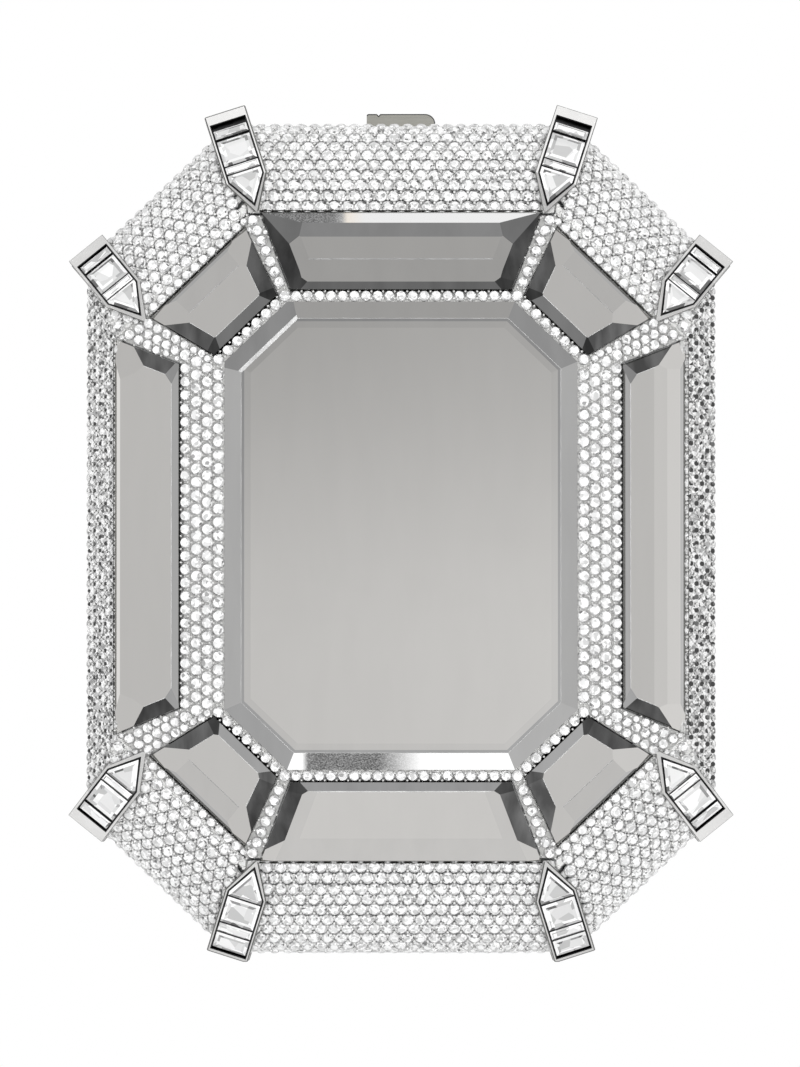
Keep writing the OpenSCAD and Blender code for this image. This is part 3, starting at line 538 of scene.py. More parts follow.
# %% Grinding the ring mirrors
ENDS = {
    "top": [(1.6, "strip"), (3.0, "deep"), (3.0, "notch")],
    "bottom": [(1.6, "mid"), (3.0, "deep"), (3.0, "shade")],
    "left": [(1.3, "bevel"), (2.7, "shade"), (2.7, "deep")],
    "right": [(1.3, "bevel"), (2.7, "deep"), (2.7, "shade")],
    "upper_right": [(2.2, "grey"), (2.9, "shade"), (2.9, "shade")],
    "upper_left": [(2.2, "grey"), (2.9, "shade"), (2.9, "shade")],
    "lower_right": [(1.8, "soft"), (2.9, "deep"), (2.9, "shade")],
    "lower_left": [(1.8, "soft"), (2.9, "shade"), (2.9, "deep")],
}
OUTER_FACETS = {
    "top": [(5.7, 1.5, "soft"), (2.6, 10, "flare")],
    "bottom": [(5.2, 7, "pale")],
    "left": [(4.4, 2, "flat"), (1.3, 20, "flat")],
    "right": [(7.2, 2.5, "flat"), (4.4, 3.5, "flat"), (1.5, 14, "bevel")],
}
CUT_FACETS = [(5.35, 2.5, "faint"), (5.2, 2.5, "pale"), (1.2, 12, "bevel")]
OUTER_CORNERS = {"top": (9.5, "grey", 0.0), "bottom": (7.0, "flat", 0.3),
                 "left": (8.0, "flat", 0.5), "right": (8.0, "flat", 0.5)}
CUT_CORNERS = (8.0, "flat", 0.35)
RING_THICK = 1.6


def outer_facets(bm, outline, facets):
    """Facets along the outer edge, each leaning further out; returns the depth at the edge."""
    depth, lean = 0.0, 0.0
    for (wide, more, tone), (inner, _, _) in zip(facets, facets[1:] + [(0.0, 0, "")]):
        lean += math.radians(more)
        foot = depth + wide * math.tan(lean)
        grind_edge(bm, outline, 2, wide, tone, foot, depth)
        depth += (wide - inner) * math.tan(lean)
    return depth


for which, (place, outline, tilt) in MIRRORS.items():
    bm = glass_block(outline, RING_THICK * (math.cos(tilt) + math.sin(tilt)) + PROUD, PROUD)
    if tilt == END_TILT:
        for edge in (1, 3):
            grind_edge(bm, outline, edge, 5.6, "pale", 0.09)
    if which == "top":
        grind_edge(bm, outline, 0, 6.5, "faint", 0.1)
        grind_edge(bm, outline, 0, 6.3, "pale", 0.11, 0.003)
    depth = outer_facets(bm, outline, OUTER_FACETS.get(which, CUT_FACETS))
    for edge, (wide, tone) in zip((0, 1, 3), ENDS[which]):
        bevel_edge(bm, outline, edge, wide, tone, depth, 0.2 if tilt == END_TILT else 0.1)
    for corner in (0, 1):
        if tilt == SIDE_TILT:
            grind_corner(bm, outline, corner, 3.3, "soft", depth + 0.1)
        else:
            grind_corner(bm, outline, corner, 3.4, "notch", depth + 0.3)
    far, tone, more = OUTER_CORNERS.get(which, CUT_CORNERS)
    for corner in (2, 3):
        grind_corner(bm, outline, corner, far, tone, depth + more)
    hand_over(bm, which + "_mirror_glass", [GLASS[t] for t in TONES], "lid",
              [which + "_mirror"], STAND_UP @ place)

# %% [markdown]
# Thin silver bezels hold the ring mirrors. Each is its mirror's outline, a little larger,
# drawn up into a wall. The face is inset while its normal isn't known yet, so the inset is
# nil and both sides of the wall lie in one place: the wall is thinner than foil.


# %% Bezels
def bezel(outline, wall, low, high):
    bm = bmesh.new()
    face = bm.faces.new([bm.verts.new((x, y, low)) for x, y in outline])
    bmesh.ops.inset_region(bm, faces=[face], thickness=wall, use_even_offset=True, use_boundary=True)
    bmesh.ops.delete(bm, geom=[face], context="FACES_ONLY")
    grown = bmesh.ops.extrude_face_region(bm, geom=bm.faces[:], use_keep_orig=True)
    bmesh.ops.translate(bm, verts=new_verts(grown), vec=(0, 0, high - low))
    bmesh.ops.recalc_face_normals(bm, faces=bm.faces)
    return bm


def grown_outline(outline, grow):
    """The outline moved outward by grow on every side."""
    points = [Vector(p) for p in outline]
    moved = []
    for before, here, after in zip([points[-1]] + points, points, points[1:] + points[:1]):
        a, b = (here - before).normalized(), (after - here).normalized()
        across = Vector((a.y, -a.x)) + Vector((b.y, -b.x))
        moved.append(here + across * (grow / (1 + a.dot(b))))
    return [tuple(p) for p in moved]


for which, (place, outline, _) in MIRRORS.items():
    hand_over(bezel(grown_outline(outline, 0.2), 0.15, -1.0, 0.15), which + "_bezel", [BEZEL_METAL], "lid",
              (), STAND_UP @ place)

# %% [markdown]
# ## Stones
# Each stone is a round flat-back about 2.6 mm across: a wall, a narrow sloping girdle painted
# dark as an outline, which is painted shade, a crown of twisted facets and a flat table.
# Extruding one ring of ten corners three times makes it. The top ring is turned half a step,
# so each crown facet twists into two triangles, as on a brilliant. It has 32 faces, which is
# what a shape used thousands of times can afford. The patterns differ in their tables: large
# and white on the ribs, small and painted dark on the sides, where they are longer across the
# row than along it.


# %% One stone
SIDES = 10
WALL, BELT, CROWN = 0.36, 0.14, 0.3


def round_stone(name, table=0.62, painted_shade_facets=False, across=1.0, rim=0.92):
    """A stone of radius 1 mm whose table is at z = 0; the crown can have painted shade, facets painted
    dark, at its lower left.
    """
    bm = bmesh.new()
    bmesh.ops.create_circle(bm, cap_ends=True, segments=SIDES, radius=1.0)
    bmesh.ops.translate(bm, verts=bm.verts, vec=(0, 0, -WALL - BELT - CROWN))
    face = bm.faces[:][0]
    rings = ((WALL, 1.0, 0.0, 2), (BELT, rim, 0.0, 2), (CROWN, table, math.pi / SIDES, 1))
    for rise, share, turn, finish in rings:
        before = set(bm.faces)
        grown = bmesh.ops.extrude_face_region(bm, geom=[face, *face.edges], use_keep_orig=rise == WALL)
        top = new_verts(grown)
        bmesh.ops.translate(bm, verts=top, vec=(0, 0, rise))
        bmesh.ops.rotate(bm, verts=top, cent=(0, 0, 0), matrix=Matrix.Rotation(turn, 3, "Z"))
        bmesh.ops.scale(bm, verts=top, vec=(share, share * (across if rise == CROWN else 1.0), 1))
        face = next(g for g in grown["geom"] if isinstance(g, bmesh.types.BMFace))
        for f in set(bm.faces) - before:
            way = math.degrees(math.atan2(*f.calc_center_median().yx))
            f.material_index = 3 if painted_shade_facets and finish == 1 and -160 < way < -105 else finish
    face.material_index = 0
    bmesh.ops.recalc_face_normals(bm, faces=bm.faces)
    mesh = bpy.data.meshes.new(name)
    bm.to_mesh(mesh)
    bm.free()
    return mesh


STONE_PATTERN = round_stone("plain_stone")
RIB_PATTERN = round_stone("rib_stone", 0.85, rim=0.88)
CRESCENT_PATTERN = round_stone("crescent_stone", 0.56, True)
DOTTED_PATTERN = {"left": round_stone("fine_dotted_stone", 0.34, across=1.4),
                  "right": round_stone("dotted_stone", 0.42, across=1.9)}
print("one stone:", len(STONE_PATTERN.polygons), "faces")


def set_stone(bm, pattern, point, normal, along, radius, turn):
    """Sets one stone with its table at point, facing normal; all in the jeweller's frame."""
    z = Vector(normal).normalized()
    x = (Vector(along) - z * z.dot(Vector(along))).normalized()
    y = z.cross(x)
    place = (Matrix.Translation(point) @ Matrix((x, y, z)).transposed().to_4x4()
             @ Matrix.Rotation(turn, 4, "Z") @ Matrix.Scale(radius, 4))
    stone = pattern.copy()
    stone.transform(place)
    bm.from_mesh(stone)
    bpy.data.meshes.remove(stone)


def raise_bead(bm, at, radius, side=1):
    bmesh.ops.create_icosphere(bm, subdivisions=1, radius=radius,
                               matrix=Matrix.Translation((at.x, at.y, side * at.z)))


# %% [markdown]
# The claws come first in the setter's plan, because no stone goes under a claw, or only by
# a hair. A claw's place in the front view is its tip and its outer end, and it widens from
# the tip to a knee 7 mm along.

# %% Where the claws lie
CLAW_TIP, CLAW_SPREAD, KNEE = 0.4, 3.9, 7.0
END_CORNER = eight_corners(GIRDLE)[2]
SIDE_CORNER = eight_corners(GIRDLE)[1] + 1.2 * Vector((-CUT.y, CUT.x))
FRONT_CLAWS = [(Vector((28.67, 64.6)), END_CORNER), (Vector((50.9, 42.92)), SIDE_CORNER)]
BACK_CLAWS = [(Vector((30.49, 70.5)), END_CORNER), (Vector((52.5, 45.54)), SIDE_CORNER)]


def on_claw(q, tip, end):
    """How far q is along a claw, how far aside of its middle, and half the claw's width there."""
    run = (end - tip).normalized()
    along, aside = (q - tip).dot(run), abs((q - tip).cross(run))
    return along, aside, CLAW_TIP + CLAW_SPREAD * min(1.0, max(0.0, along) / KNEE)


def under_claw(p, claws, margin):
    """True where a claw would hide a stone, but for a little of its rim under the claw's side;
    p is mirrored into the upper right quarter."""
    for claw in claws:
        along, aside, half = on_claw(Vector((abs(p[0]), abs(p[1]))), *claw)
        if along > -margin and aside < 0.84 * half - 0.29 + margin:
            return True
    return False


# %% [markdown]
# The bands between two hips are set in rows that run parallel to the edge of the bag. The
# setter unrolls the domed band, divides its length into rows, and staggers every other row
# by half a stone so that they nest. Positions along a row count from the middle of the
# band, so the nesting never slips. Pairs of small beads are raised between the stones, and
# a larger bead closes each row at its hip. Two in three stones of the top band's first rows
# have painted shade at one side, crown facets painted dark, which draws a crescent in them.

# %% Rows on a band
FIRST_ROW = 1.27
STONE_RADIUS = 1.31
PITCH, ROW = 2.66, 2.3
ROW_END = 0.5
GIRDLE_SINK, WALL_SINK = 0.46, 0.6
BEAD, BEAD_SINK = 0.33, 0.42
HIP_BEAD, HIP_BEAD_SINK = 0.5, 0.45
TWIST = 0.7
BANDS = ["right", "upper_right", "top", "upper_left", "left", "lower_left", "bottom", "lower_right"]


def profile_rows(folds, i):
    """Rows of band i: ends in the front view, height, outward normal, direction along the row, and
    how deep its stones sit. The row at the girdle leans half way from the crown to the wall."""
    folds = [*folds, (*folds[-1][:3], RIM_TOP)]
    lines = [(eight_corners(f)[i], eight_corners(f)[(i + 1) % 8], f[3]) for f in folds]
    run = (lines[0][1] - lines[0][0]).normalized()
    out = Vector((run.y, -run.x))
    steps = [math.hypot(out.dot(b[0] - a[0]), b[2] - a[2]) for a, b in zip(lines, lines[1:])]
    length = sum(steps)
    count = round((length - 2 * FIRST_ROW) / ROW) + 1
    for r in range(count):
        s = FIRST_ROW + r * (length - 2 * FIRST_ROW) / (count - 1)
        k = 0
        while k < len(steps) - 1 and s > steps[k]:
            s -= steps[k]
            k += 1
        (a0, b0, z0), (a1, b1, z1) = lines[k], lines[k + 1]
        t = s / steps[k]
        drop, reach = z0 - z1, out.dot(a1 - a0)
        normal, sink = Vector((out.x * drop, out.y * drop, reach)).normalized(), 0.0
        if k == len(steps) - 1:
            sink = WALL_SINK
            if s < ROW / 2:
                normal, sink = (normal + crown_normal).normalized(), GIRDLE_SINK
        else:
            crown_normal = normal
        yield r, a0.lerp(a1, t), b0.lerp(b1, t), z0 + t * (z1 - z0), normal, run, sink


def set_band(folds, i, claws, side, pattern, crescents=0, twist=TWIST):
    """Stones of one band and the beads between them; side is 1 on the front and -1 on the back."""
    bm, beads = bmesh.new(), bmesh.new()
    count = 0
    ring = eight_corners(folds[0])
    for r, a, b, z, normal, run, sink in profile_rows(folds, i):
        shift, run_3d = 0.5 * (r % 2), Vector((run.x, run.y, 0))
        middle = (ring[i] + ring[(i + 1) % 8]).dot(run) / 2
        low, high, out = a.dot(run), b.dot(run), a - run * a.dot(run)
        down = normal.cross(run_3d)
        j = math.ceil((low + ROW_END - middle) / PITCH - shift)
        while (u := middle + (j + shift) * PITCH) <= high - ROW_END:
            j += 1
            p = out + run * u
            if under_claw(p, claws, 0.1):
                continue
            at = Vector((p.x, p.y, z)) - normal * sink
            # painted shade: two in three of these stones get crown facets painted dark at one side
            dark = r < crescents and count % 3
            set_stone(bm, CRESCENT_PATTERN if dark else pattern, (at.x, at.y, side * at.z),
                      (normal.x, normal.y, side * normal.z), run_3d, STONE_RADIUS,
                      0.0 if dark else twist * count)
            count += 1
            gap = at + run_3d * (PITCH / 2) - normal * BEAD_SINK
            if sink == 0 and u + PITCH < high and not under_claw(gap, claws, 0.4):
                for step in (-ROW / 3, ROW / 3):
                    raise_bead(beads, gap + down * step, BEAD, side)
        if sink == 0 and not under_claw(b, claws, 0.3):
            raise_bead(beads, Vector((b.x, b.y, z)) - normal * HIP_BEAD_SINK, HIP_BEAD, side)
    return bm, beads, count


# %% [markdown]
# Under the stones lies a metal bed. It is the outer skin of the CAD band, sunk by most of a
# stone's height and given a thickness of its own.


# %% A metal bed under the stones
def lay_bed(node, name, finish, body, sink=0.0008, thick=0.0006):
    bm = merged_copy(node)
    bm.normal_update()
    bmesh.ops.delete(bm, geom=[f for f in bm.faces if faces_out(f) <= 0.2], context="FACES")
    bm.normal_update()
    inward = {}
    for v in bm.verts:
        lean = v.normal * min(1.3, v.calc_shell_factor())
        v.co -= lean * sink
        inward[v.co.copy().freeze()] = lean
    under = bmesh.ops.extrude_face_region(bm, geom=bm.faces[:], use_keep_orig=True)
    for v in new_verts(under):
        v.co -= inward[v.co.copy().freeze()] * thick
    hand_over(bm, name, [finish], body, place=None)


CRESCENT_ROWS = 4
total = 0
for i, band in enumerate(BANDS):
    dotted = band in DOTTED_PATTERN
    bm, beads, count = set_band(FRONT_FOLDS[1:], i, FRONT_CLAWS, 1, DOTTED_PATTERN.get(band, STONE_PATTERN),
                                CRESCENT_ROWS if band == "top" else 0, 0.0 if dotted else TWIST)
    hand_over(bm, band + "_stones", PAVE_DOTTED_PAINTED_DARK if dotted else PAVE, "lid", [band + "_pave"])
    hand_over(beads, band + "_beads", [BEAD_METAL], "lid", smooth=True)
    lay_bed(band + "_pave", band + "_bed", BED_METAL, "lid")
    total += count
print(total, "stones on the front bands")

# %% [markdown]
# The ribs between the mirrors are set by eye in the real bag: single rows round the centre
# mirror and up the hips, four columns on the wide ribs at the sides, and what fits in the
# wedges. A setter picks each stone to fit the room that is left. The rows are tried in order
# of importance: the corner stones and the row round the centre mirror, the columns of the
# wide ribs, the hips, the wedges, and the row along the outer edge. A stone is as large as
# its neighbours and the mirrors allow. It is all worked out in the upper right quarter and
# then mirrored.


# %% Room between the mirrors
def plan_of(which):
    """A ring mirror's outline in the front view, anticlockwise."""
    place, outline, _ = MIRRORS[which]
    points = [(place @ Vector((x, y, 0))).to_2d() for x, y in outline]
    turned = sum(a.cross(b) for a, b in zip(points, points[1:] + points[:1]))
    return points if turned > 0 else points[::-1]


TOP_PLAN, RIGHT_PLAN, CUT_PLAN = (plan_of(which) for which in ("top", "right", "upper_right"))
ROOM_EDGES = [TOP_PLAN, RIGHT_PLAN, CUT_PLAN, TABLE_OUTLINE]
RING_EDGE = eight_corners(RING)
BEZEL = 0.1
rib_stones = []


def outside(points, p):
    """How far p lies outside a convex outline that runs anticlockwise; negative inside."""
    run = [(b - a).normalized() for a, b in zip(points, points[1:] + points[:1])]
    return max(Vector((d.y, -d.x)).dot(p - a) for d, a in zip(run, points))


def room_at(p, most):
    """Largest radius that fits at p, up to most."""
    room = min(most, min(outside(points, p) for points in ROOM_EDGES) - BEZEL,
               -outside(RING_EDGE, p) + 0.15)
    for other, radius, _ in rib_stones:
        if room <= 0:
            return 0
        room = min(room, (p - other).length - radius * 0.97)
    return room


def try_row(start, end, pitch, most, least=0.75):
    """Stones at even steps from start to end in the upper right quarter."""
    start, end = Vector(start), Vector(end)
    along = end - start if end != start else Vector((1, 0))
    steps = max(1, round((end - start).length / pitch))
    for k in range(steps + 1):
        p = start.lerp(end, k / steps)
        radius = room_at(p, most)
        if radius > least and p.x > -0.01 and p.y > -0.01 and not under_claw(p, FRONT_CLAWS, 0.1):
            rib_stones.append((p, radius, along))


# %% Rows on the ribs
centre_row = eight_corners(TABLE, 1.25)
try_row(centre_row[2], centre_row[2], 1.0, 1.2)
try_row((0, centre_row[2].y), centre_row[2], 2.24, 1.12)
try_row(centre_row[1], centre_row[1], 1.0, 1.2)
try_row(centre_row[2], centre_row[1], 2.62, 1.3)
for n, grow in enumerate((1.25, 3.45, 5.65, 7.85)):
    x, y = eight_corners(TABLE, grow)[1].x, PITCH / 2 * (n % 2)
    try_row((x, y), (x, y + PITCH * 14), PITCH, 1.26, 0.9)

hip_in = (max(TOP_PLAN, key=lambda q: q.x - q.y) + max(CUT_PLAN, key=lambda q: -q.x)) / 2
top_out = max(TOP_PLAN, key=lambda q: q.x + 2 * q.y)
cut_out = max(CUT_PLAN, key=lambda q: q.y)
try_row((top_out + cut_out) / 2, hip_in, 2.25, 1.16)

wedge_out = max(CUT_PLAN, key=lambda q: q.x)
wedge_in = min(CUT_PLAN, key=lambda q: q.y)
wedge_run = (wedge_in - wedge_out).normalized()
wedge_across = Vector((wedge_run.y, -wedge_run.x))
if wedge_across.y > 0:
    wedge_across = -wedge_across
for row in range(4):
    shift = wedge_across * (1.28 + 1.95 * row) - wedge_run * (2.0 + 1.05 * (row % 2))
    try_row(wedge_out + shift, wedge_in + shift + wedge_run * 4.4, 2.14, 1.08)
ring_row = eight_corners(RING, -1.1)
try_row(ring_row[2].lerp(ring_row[1], 0.02), ring_row[1], 2.36, 1.16)
print(len(rib_stones), "stones in the rows of one quarter")

# %% [markdown]
# Small stones fill what the rows leave, largest first, and then little silver beads are
# raised in the gaps and pushed over the stones' edges to hold them.

# %% Fillers and beads
SEARCH_STEP = 0.55
RIB_BEAD, RIB_BEAD_SINK = 0.27, 0.35
for least in (0.95, 0.72, 0.52):
    x = 0.0
    while x < RING[0]:
        y = 0.0
        while y < RING[1]:
            p = Vector((x, y))
            if outside(TABLE_OUTLINE, p) > least and not under_claw(p, FRONT_CLAWS, 0.1):
                radius = room_at(p, 1.1)
                if radius > least:
                    rib_stones.append((p, radius, Vector((1, 0))))
            y += SEARCH_STEP
        x += SEARCH_STEP
beads = []
for p, radius, run in rib_stones:
    for k in range(6):
        turn = math.atan2(run.y, run.x) + math.pi / 6 + k * math.pi / 3
        q = p + Vector((math.cos(turn), math.sin(turn))) * (radius + 0.3)
        near = [(q - other).length - r for other, r, _ in rib_stones if abs(q.x - other.x) < 2.5]
        if (min(near) > 0.14 and q.x > 0 and q.y > 0 and min(outside(e, q) for e in ROOM_EDGES) > 0.3
                and outside(RING_EDGE, q) < 0 and all((q - b).length > 0.5 for b in beads)):
            beads.append(q)
print(len(rib_stones), "stones and", len(beads), "beads in one quarter")


def on_crown(p, step=0.4):
    """Point and slope of the crown over a place in the front view."""
    def height(dx, dy):
        return crown_height((p.x + dx, p.y + dy))
    slope = (height(-step, 0) - height(step, 0), height(0, -step) - height(0, step), 2 * step)
    return height(0, 0), Vector(slope)


def mirrored(p):
    """A place and its mirror images, without doubles on the axes."""
    x, y = (0.0 if abs(v) <= 0.6 else v for v in p)
    for sx, sy in ((1, 1), (-1, 1), (-1, -1), (1, -1)):
        if (x or sx > 0) and (y or sy > 0):
            yield Vector((x * sx, y * sy)), sx, sy


bm, rib_beads = bmesh.new(), bmesh.new()
total = 0
for p, radius, run in rib_stones:
    for q, sx, sy in mirrored(p):
        z, normal = on_crown(q)
        set_stone(bm, RIB_PATTERN, (q.x, q.y, z + 0.1), normal, (run.x * sx, run.y * sy, 0), radius,
                  q.x + q.y)
        total += 1
for p in beads:
    for q, _, _ in mirrored(p):
        raise_bead(rib_beads, Vector((q.x, q.y, on_crown(q)[0] - RIB_BEAD_SINK)), RIB_BEAD)
hand_over(bm, "rib_stones", PAVE, "lid", ["rib_setting"])
hand_over(rib_beads, "rib_beads", [BEAD_METAL], "lid", smooth=True)
lay_bed("rib_setting", "rib_bed", RIB_BED_METAL, "lid", 0.0009)
print(total, "stones on the ribs")

# %% [markdown]
# The back carries the same stones round a plain polished plate. They start at the edge of
# the plate and run over the shallow slope and the steep band to the girdle.

# %% Back stones
total = 0
for i, band in enumerate(BANDS):
    bm, beads, count = set_band(BACK_FOLDS, i, BACK_CLAWS, -1, STONE_PATTERN)
    stands_for = ["back_pave"] if band == "top" else ()
    hand_over(bm, "back_" + band + "_stones", PAVE, "back", stands_for)
    hand_over(beads, "back_" + band + "_beads", [BEAD_METAL], "back", smooth=True)
    total += count
lay_bed("back_pave", "back_bed", BED_METAL, "back")
print(total, "stones on the back")

# %% [markdown]
# ## Claws and baguettes
# The claws are cast and then polished, which rounds every arris a little. A narrow bevel on
# the sharp edges of the CAD claw does that, and catches a fine line of light. The channel
# between a claw's walls is painted dark, as painted shade, and its broad flanks, which look
# sideways, are painted dark too, a painted reflection of shade; the bevels take these finishes.


# %% Polished claws
CHANNEL_WALL = 0.8
BROAD = 1.5e-5
LIE_DOWN = STAND_UP.inverted()


def in_channel(point, claws):
    """True where a point of a claw, in the scene's frame, lies within its channel walls."""
    p = LIE_DOWN @ point
    q = Vector((abs(p.x), abs(p.y)))
    _, aside, half = min((on_claw(q, *claw) for claw in claws), key=lambda place: place[1])
    return aside < half - CHANNEL_WALL + 0.1


def soften(bm, edges, wide, segments, finish):
    bmesh.ops.bevel(bm, geom=edges, offset=wide, offset_type="OFFSET", segments=segments, profile=0.5,
                    affect="EDGES", material=finish, clamp_overlap=True)


def polish_claw(node, claws, body):
    bm = merged_copy(node)
    bmesh.ops.dissolve_degenerate(bm, dist=0.0001, edges=bm.edges)
    bm.normal_update()
    # painted shade: faces within the channel get the dark channel finish, broad sideways faces the dark
    # flank finish
    for f in bm.faces:
        sideways = abs(f.normal.y) < 0.3 and f.calc_area() > BROAD
        f.material_index = 1 if all(in_channel(v.co, claws) for v in f.verts) else 2 if sideways else 0
    # the channel's rim is bevelled in the painted-shade channel finish, the other sharp edges in the dark
    # flank finish
    soften(bm, [e for e in bm.edges if 1 in {f.material_index for f in e.link_faces} != {1}], 0.00026, 1, 1)
    soften(bm, [e for e in bm.edges if len(e.link_faces) == 2 and e.calc_face_angle(0.0) > math.radians(25)
                and e.calc_length() > 0.0009 and all(f.material_index != 1 for f in e.link_faces)],
           0.00028, 3, 2)
    hand_over(bm, node + "_polished", [SILVER, CHANNEL_PAINTED_SHADE, FLANK_PAINTED_SHADE], body, [node], None)


for node in ("top_left_claw", "top_right_claw", "bottom_left_claw", "bottom_right_claw",
             "left_upper_claw", "left_lower_claw", "right_upper_claw", "right_lower_claw"):
    polish_claw(node, FRONT_CLAWS, "lid")
polish_claw("back_claws", BACK_CLAWS, "back")

# %% [markdown]
# A baguette is step-cut: flat steps run round a long table, like terraces. Insets on the
# face that shows make them. Each inset lifts its middle a little. The steps carry painted
# reflections: the outer step is painted dark on its lower side, which looks into the setting,
# and the inner one on its upper side. The large stones have a table painted like a window.


# %% Step-cut baguettes
# Each step: its width as a share of the stone's, its lift in metres, and the finishes of its
# upper and lower side and its ends
STEPS = [((0.15, 0.00012), (0, 2, 0)), ((0.11, 0.00004), (2, 0, 1))]
NARROWEST, LARGE = 0.0012, 1.6e-5


def facing_groups(faces):
    """Faces of the same stone that lie nearly in one plane, gathered together."""
    left = set(faces)
    while left:
        group, waiting = [], [left.pop()]
        while waiting:
            face = waiting.pop()
            group.append(face)
            near = {g for e in face.edges for g in e.link_faces
                    if g in left and g.normal.dot(face.normal) > 0.8}
            left -= near
            waiting += near
        yield group


def step_cut(node, body, facing):
    bm = merged_copy(node)
    bm.normal_update()
    shown = [f for f in bm.faces
             if faces_out(f) > 0.25 and (f.normal.y * facing > 0.25 or abs(f.normal.y) < 0.05)]
    for group in list(facing_groups(shown)):
        area = sum(f.calc_area() for f in group)
        rim = [e for f in group for e in f.edges if sum(g in group for g in e.link_faces) == 1]
        narrow = area / max(e.calc_length() for e in rim)
        if narrow < NARROWEST:
            continue
        centre = sum((f.calc_center_median() * f.calc_area() for f in group), Vector()) / area
        if area > LARGE:
            for f in group:
                f.material_index = 3
        for (wide, lift), (upper, lower, ends) in STEPS:
            made = bmesh.ops.inset_region(bm, faces=group, thickness=min(0.0006, wide * narrow), depth=lift,
                                          use_even_offset=True, use_boundary=True)
            # painted reflections: each side of a new step takes its painted tone
            for f in made["faces"]:
                side = (f.calc_center_median() - centre).normalized()
                f.material_index = upper if side.z > 0.6 else lower if side.z < -0.6 else ends
    hand_over(bm, node + "_cut", BAGUETTE, body, [node], None)


step_cut("claw_baguettes", "lid", -1)
step_cut("back_baguettes", "back", 1)

# %% [markdown]
# ## Body, seam, hinge and clasp
# Most of these pieces are right as they came. They only need their finishes.

# %% Finishes of the CAD pieces
FINISHES = {
    PLATE_METAL: ["back_plate"],
    SILVER: ["front_rim", "back_rim"],
    BRUSHED: ["front_shell", "back_shell"],
    LINING: ["front_lining", "back_lining"],
    STEEL: ["hinge_pin", "front_hinge_rivets", "back_hinge_rivets", "clasp_screws",
            "clasp_housing", "clasp_keeper", "front_hinge_leaf", "back_hinge_leaf"],
}
for finish, nodes in FINISHES.items():
    for node in nodes:
        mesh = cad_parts[node].data
        mesh.materials.clear()
        mesh.materials.append(finish)
print(sum(len(n) for n in FINISHES.values()), "CAD pieces finished")

# %% [markdown]
# The clasp tab is the one piece that a thumb meets. It is darker along its top: the upward
# faces near the top get a dark metal, and a narrow strip marked off round its front face lets
# the dark run a little way over the top edge.

# %% Clasp tab
STRIP = 0.0002
DARK_EDGE_REACH = 0.0024
bm = merged_copy("clasp_tab")
bm.normal_update()
crest = max(v.co.z for v in bm.verts)
front = max((f for f in bm.faces if f.normal.y < -0.95 and f.calc_center_median().z > crest - 0.004),
            key=lambda f: f.calc_area())
strip = bmesh.ops.inset_region(bm, faces=[front], thickness=STRIP, use_even_offset=True)["faces"]
# darker along the top edge: the strip and the upward faces near the top take the dark metal
for f in bm.faces:
    above = f.calc_center_median().z > crest - DARK_EDGE_REACH
    f.material_index = int(above and (f in strip or (f is not front and f.normal.z > 0.1)))
hand_over(bm, "clasp_tab_dark_edged", [TAB_METAL, TAB_EDGE], "clasp", ["clasp_tab"], None)

# %% [markdown]
# Two springs lift the tab from the floor of the clasp's housing.

# %% Clasp springs
springs = hand_over(merged_copy("clasp_springs"), "clasp_springs_steel", [STEEL], "back",
                    ["clasp_springs"], None, True)
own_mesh(springs)

# %% [markdown]
# ## Studio
# The photograph has no floor or shadow, only white. A white world gives that to the camera,
# and to metal and glass where they look past the bag. On the camera's side a mirror sees the
# studio instead: dim above the eye line, paler below it, with a bright panel overhead, one
# at either side, and the edge of a white table low in front.


# %% World
def studio_world():
    world = bpy.data.worlds.new("studio")
    bpy.context.scene.world = world
    world.use_nodes = True
    tree = world.node_tree
    tree.nodes.clear()

    def between(source, low, high, start, end):
        """Goes smoothly from start to end while the source goes from low to high."""
        return add(tree, "ShaderNodeMapRange", interpolation_type="SMOOTHSTEP", Value=source, From_Min=low,
                   From_Max=high, To_Min=start, To_Max=end).outputs["Result"]

    def times(a, b):
        return reckon(tree, "MULTIPLY", a, b)

    def plus(a, *more):
        for b in more:
            a = reckon(tree, "ADD", a, b)
        return a

    def blend(a, b, share):
        return plus(times(a, reckon(tree, "SUBTRACT", 1.0, share)), times(b, share))

    way = add(tree, "ShaderNodeTexCoord").outputs["Generated"]
    x, y, z = add(tree, "ShaderNodeSeparateXYZ", Vector=way).outputs
    aside, steep = reckon(tree, "ABSOLUTE", x), reckon(tree, "ABSOLUTE", z)
    ahead = plus(between(z, 0.012, 0.052, 0.59, 0.4), between(x, -0.03, 0.03, -0.05, 0.02))
    around = blend(between(z, -0.5, 0.5, 0.6, 0.36), 0.52, between(aside, 0.15, 0.45, 0.0, 0.7))
    near = times(between(aside, 0.08, 0.2, 1.0, 0.0), between(steep, 0.08, 0.2, 1.0, 0.0))
    overhead = between(z, 0.8, 0.86, 0.0, 0.5)
    right, left = between(x, 0.62, 0.76, 0.0, 0.12), between(x, -0.85, -0.75, 0.24, 0.0)
    table = times(times(between(z, -0.58, -0.5, 0.0, 0.5), between(z, -0.42, -0.36, 1.0, 0.0)),
                  between(aside, 0.12, 0.2, 1.0, 0.0))
    tone = plus(blend(around, ahead, near), overhead, right, left, table)
    room = blend(tone, between(z, -0.4, 0.6, 0.95, 0.75), between(y, 0.05, 0.3, 0.0, 1.0))
    rays = add(tree, "ShaderNodeLightPath").outputs
    shown = reckon(tree, "MAXIMUM", rays["Is Camera Ray"], rays["Is Transmission Ray"])
    light = add(tree, "ShaderNodeBackground", Color=(1, 1, 1, 1), Strength=blend(room, 1.0, shown))
    add(tree, "ShaderNodeOutputWorld", Surface=light.outputs["Background"])


studio_world()

# %% [markdown]
# Three broad soft lamps lift the pale stones to white: a faint one high on the left, the
# strongest low in front, just above the floor, and one near the camera. They are kept out
# of mirror-like reflections, which would otherwise show them as hard squares.


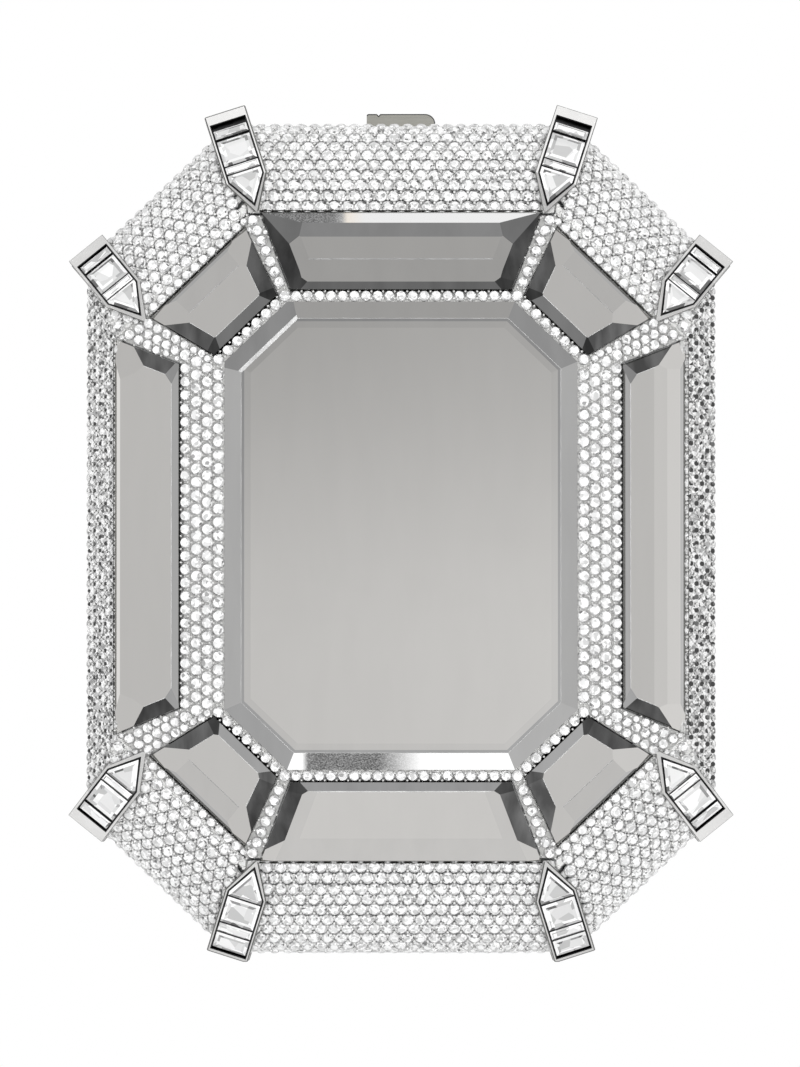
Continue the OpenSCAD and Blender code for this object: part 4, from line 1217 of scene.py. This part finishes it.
# %% Lamps
def stand(name, data, place, aim):
    """A lamp or a camera at a place, turned towards its aim."""
    thing = bpy.data.objects.new(name, data)
    bpy.context.scene.collection.objects.link(thing)
    thing.location = place
    thing.rotation_euler = (Vector(aim) - Vector(place)).to_track_quat("-Z", "Y").to_euler()
    return thing


for name, place, size, watts in (("key_lamp", (-0.6, -1.1, 0.75), 0.7, 0.8),
                                 ("low_lamp", (0.1, -1.1, 0.0), 0.6, 11),
                                 ("front_lamp", (0.1, -1.6, 0.15), 0.6, 5)):
    data = bpy.data.lights.new(name, "AREA")
    data.size = size
    data.energy = watts
    stand(name, data, place, (0, 0, 0.085)).visible_glossy = False
print("three soft lamps")

# %% [markdown]
# The lid swings below the bag's foot when it opens, so the floor lies a little lower than
# the foot. To the lamps it is pale grey. To the camera it is as white as the world, and it is
# clear to mirror-like rays and from below.


# %% Floor
def pale_floor(size, drop):
    bm = bmesh.new()
    bmesh.ops.create_grid(bm, x_segments=1, y_segments=1, size=size)
    bmesh.ops.translate(bm, verts=bm.verts, vec=(0, 0, -drop))
    floor = new_object(bm, "floor")
    material, tree, shader = new_material("pale_floor")
    floor.data.materials.append(material)
    tune(tree, shader, Base_Color=(0.9, 0.9, 0.9, 1), Roughness=0.9)
    rays = add(tree, "ShaderNodeLightPath").outputs
    below = add(tree, "ShaderNodeNewGeometry").outputs["Backfacing"]

    def either(share, a, b):
        node = add(tree, "ShaderNodeMixShader", Fac=share)
        tree.links.new(a, node.inputs[1])
        tree.links.new(b, node.inputs[2])
        return node.outputs["Shader"]

    seen = either(rays["Is Camera Ray"], shader.outputs["BSDF"],
                  add(tree, "ShaderNodeEmission", Strength=1.0).outputs["Emission"])
    surface = either(reckon(tree, "MAXIMUM", below, rays["Is Glossy Ray"]), seen,
                     add(tree, "ShaderNodeBsdfTransparent").outputs["BSDF"])
    tune(tree, tree.nodes["Material Output"], Surface=surface)


pale_floor(6.0, 0.05)

# %% [markdown]
# The camera looks straight at the front through a long lens. The parts nearest to it sit a
# hair higher in the picture than the outline does, so it stands a little below the middle.

# %% Camera
SENSOR = 36
PICTURE_WIDE = 0.2134
AIM = Vector((-0.0002, (SEAM - GIRDLE[3]) / 1000, (MIDDLE + 0.9) / 1000))
camera = stand("camera", bpy.data.cameras.new("camera"), AIM + Vector((0, -2.0, -0.05)), AIM)
bpy.context.scene.camera = camera
camera.data.sensor_width = SENSOR
camera.data.lens = SENSOR * (AIM - camera.location).length / PICTURE_WIDE
print("lens", round(camera.data.lens, 1), "mm")

bpy.context.scene.view_settings.view_transform = "Standard"
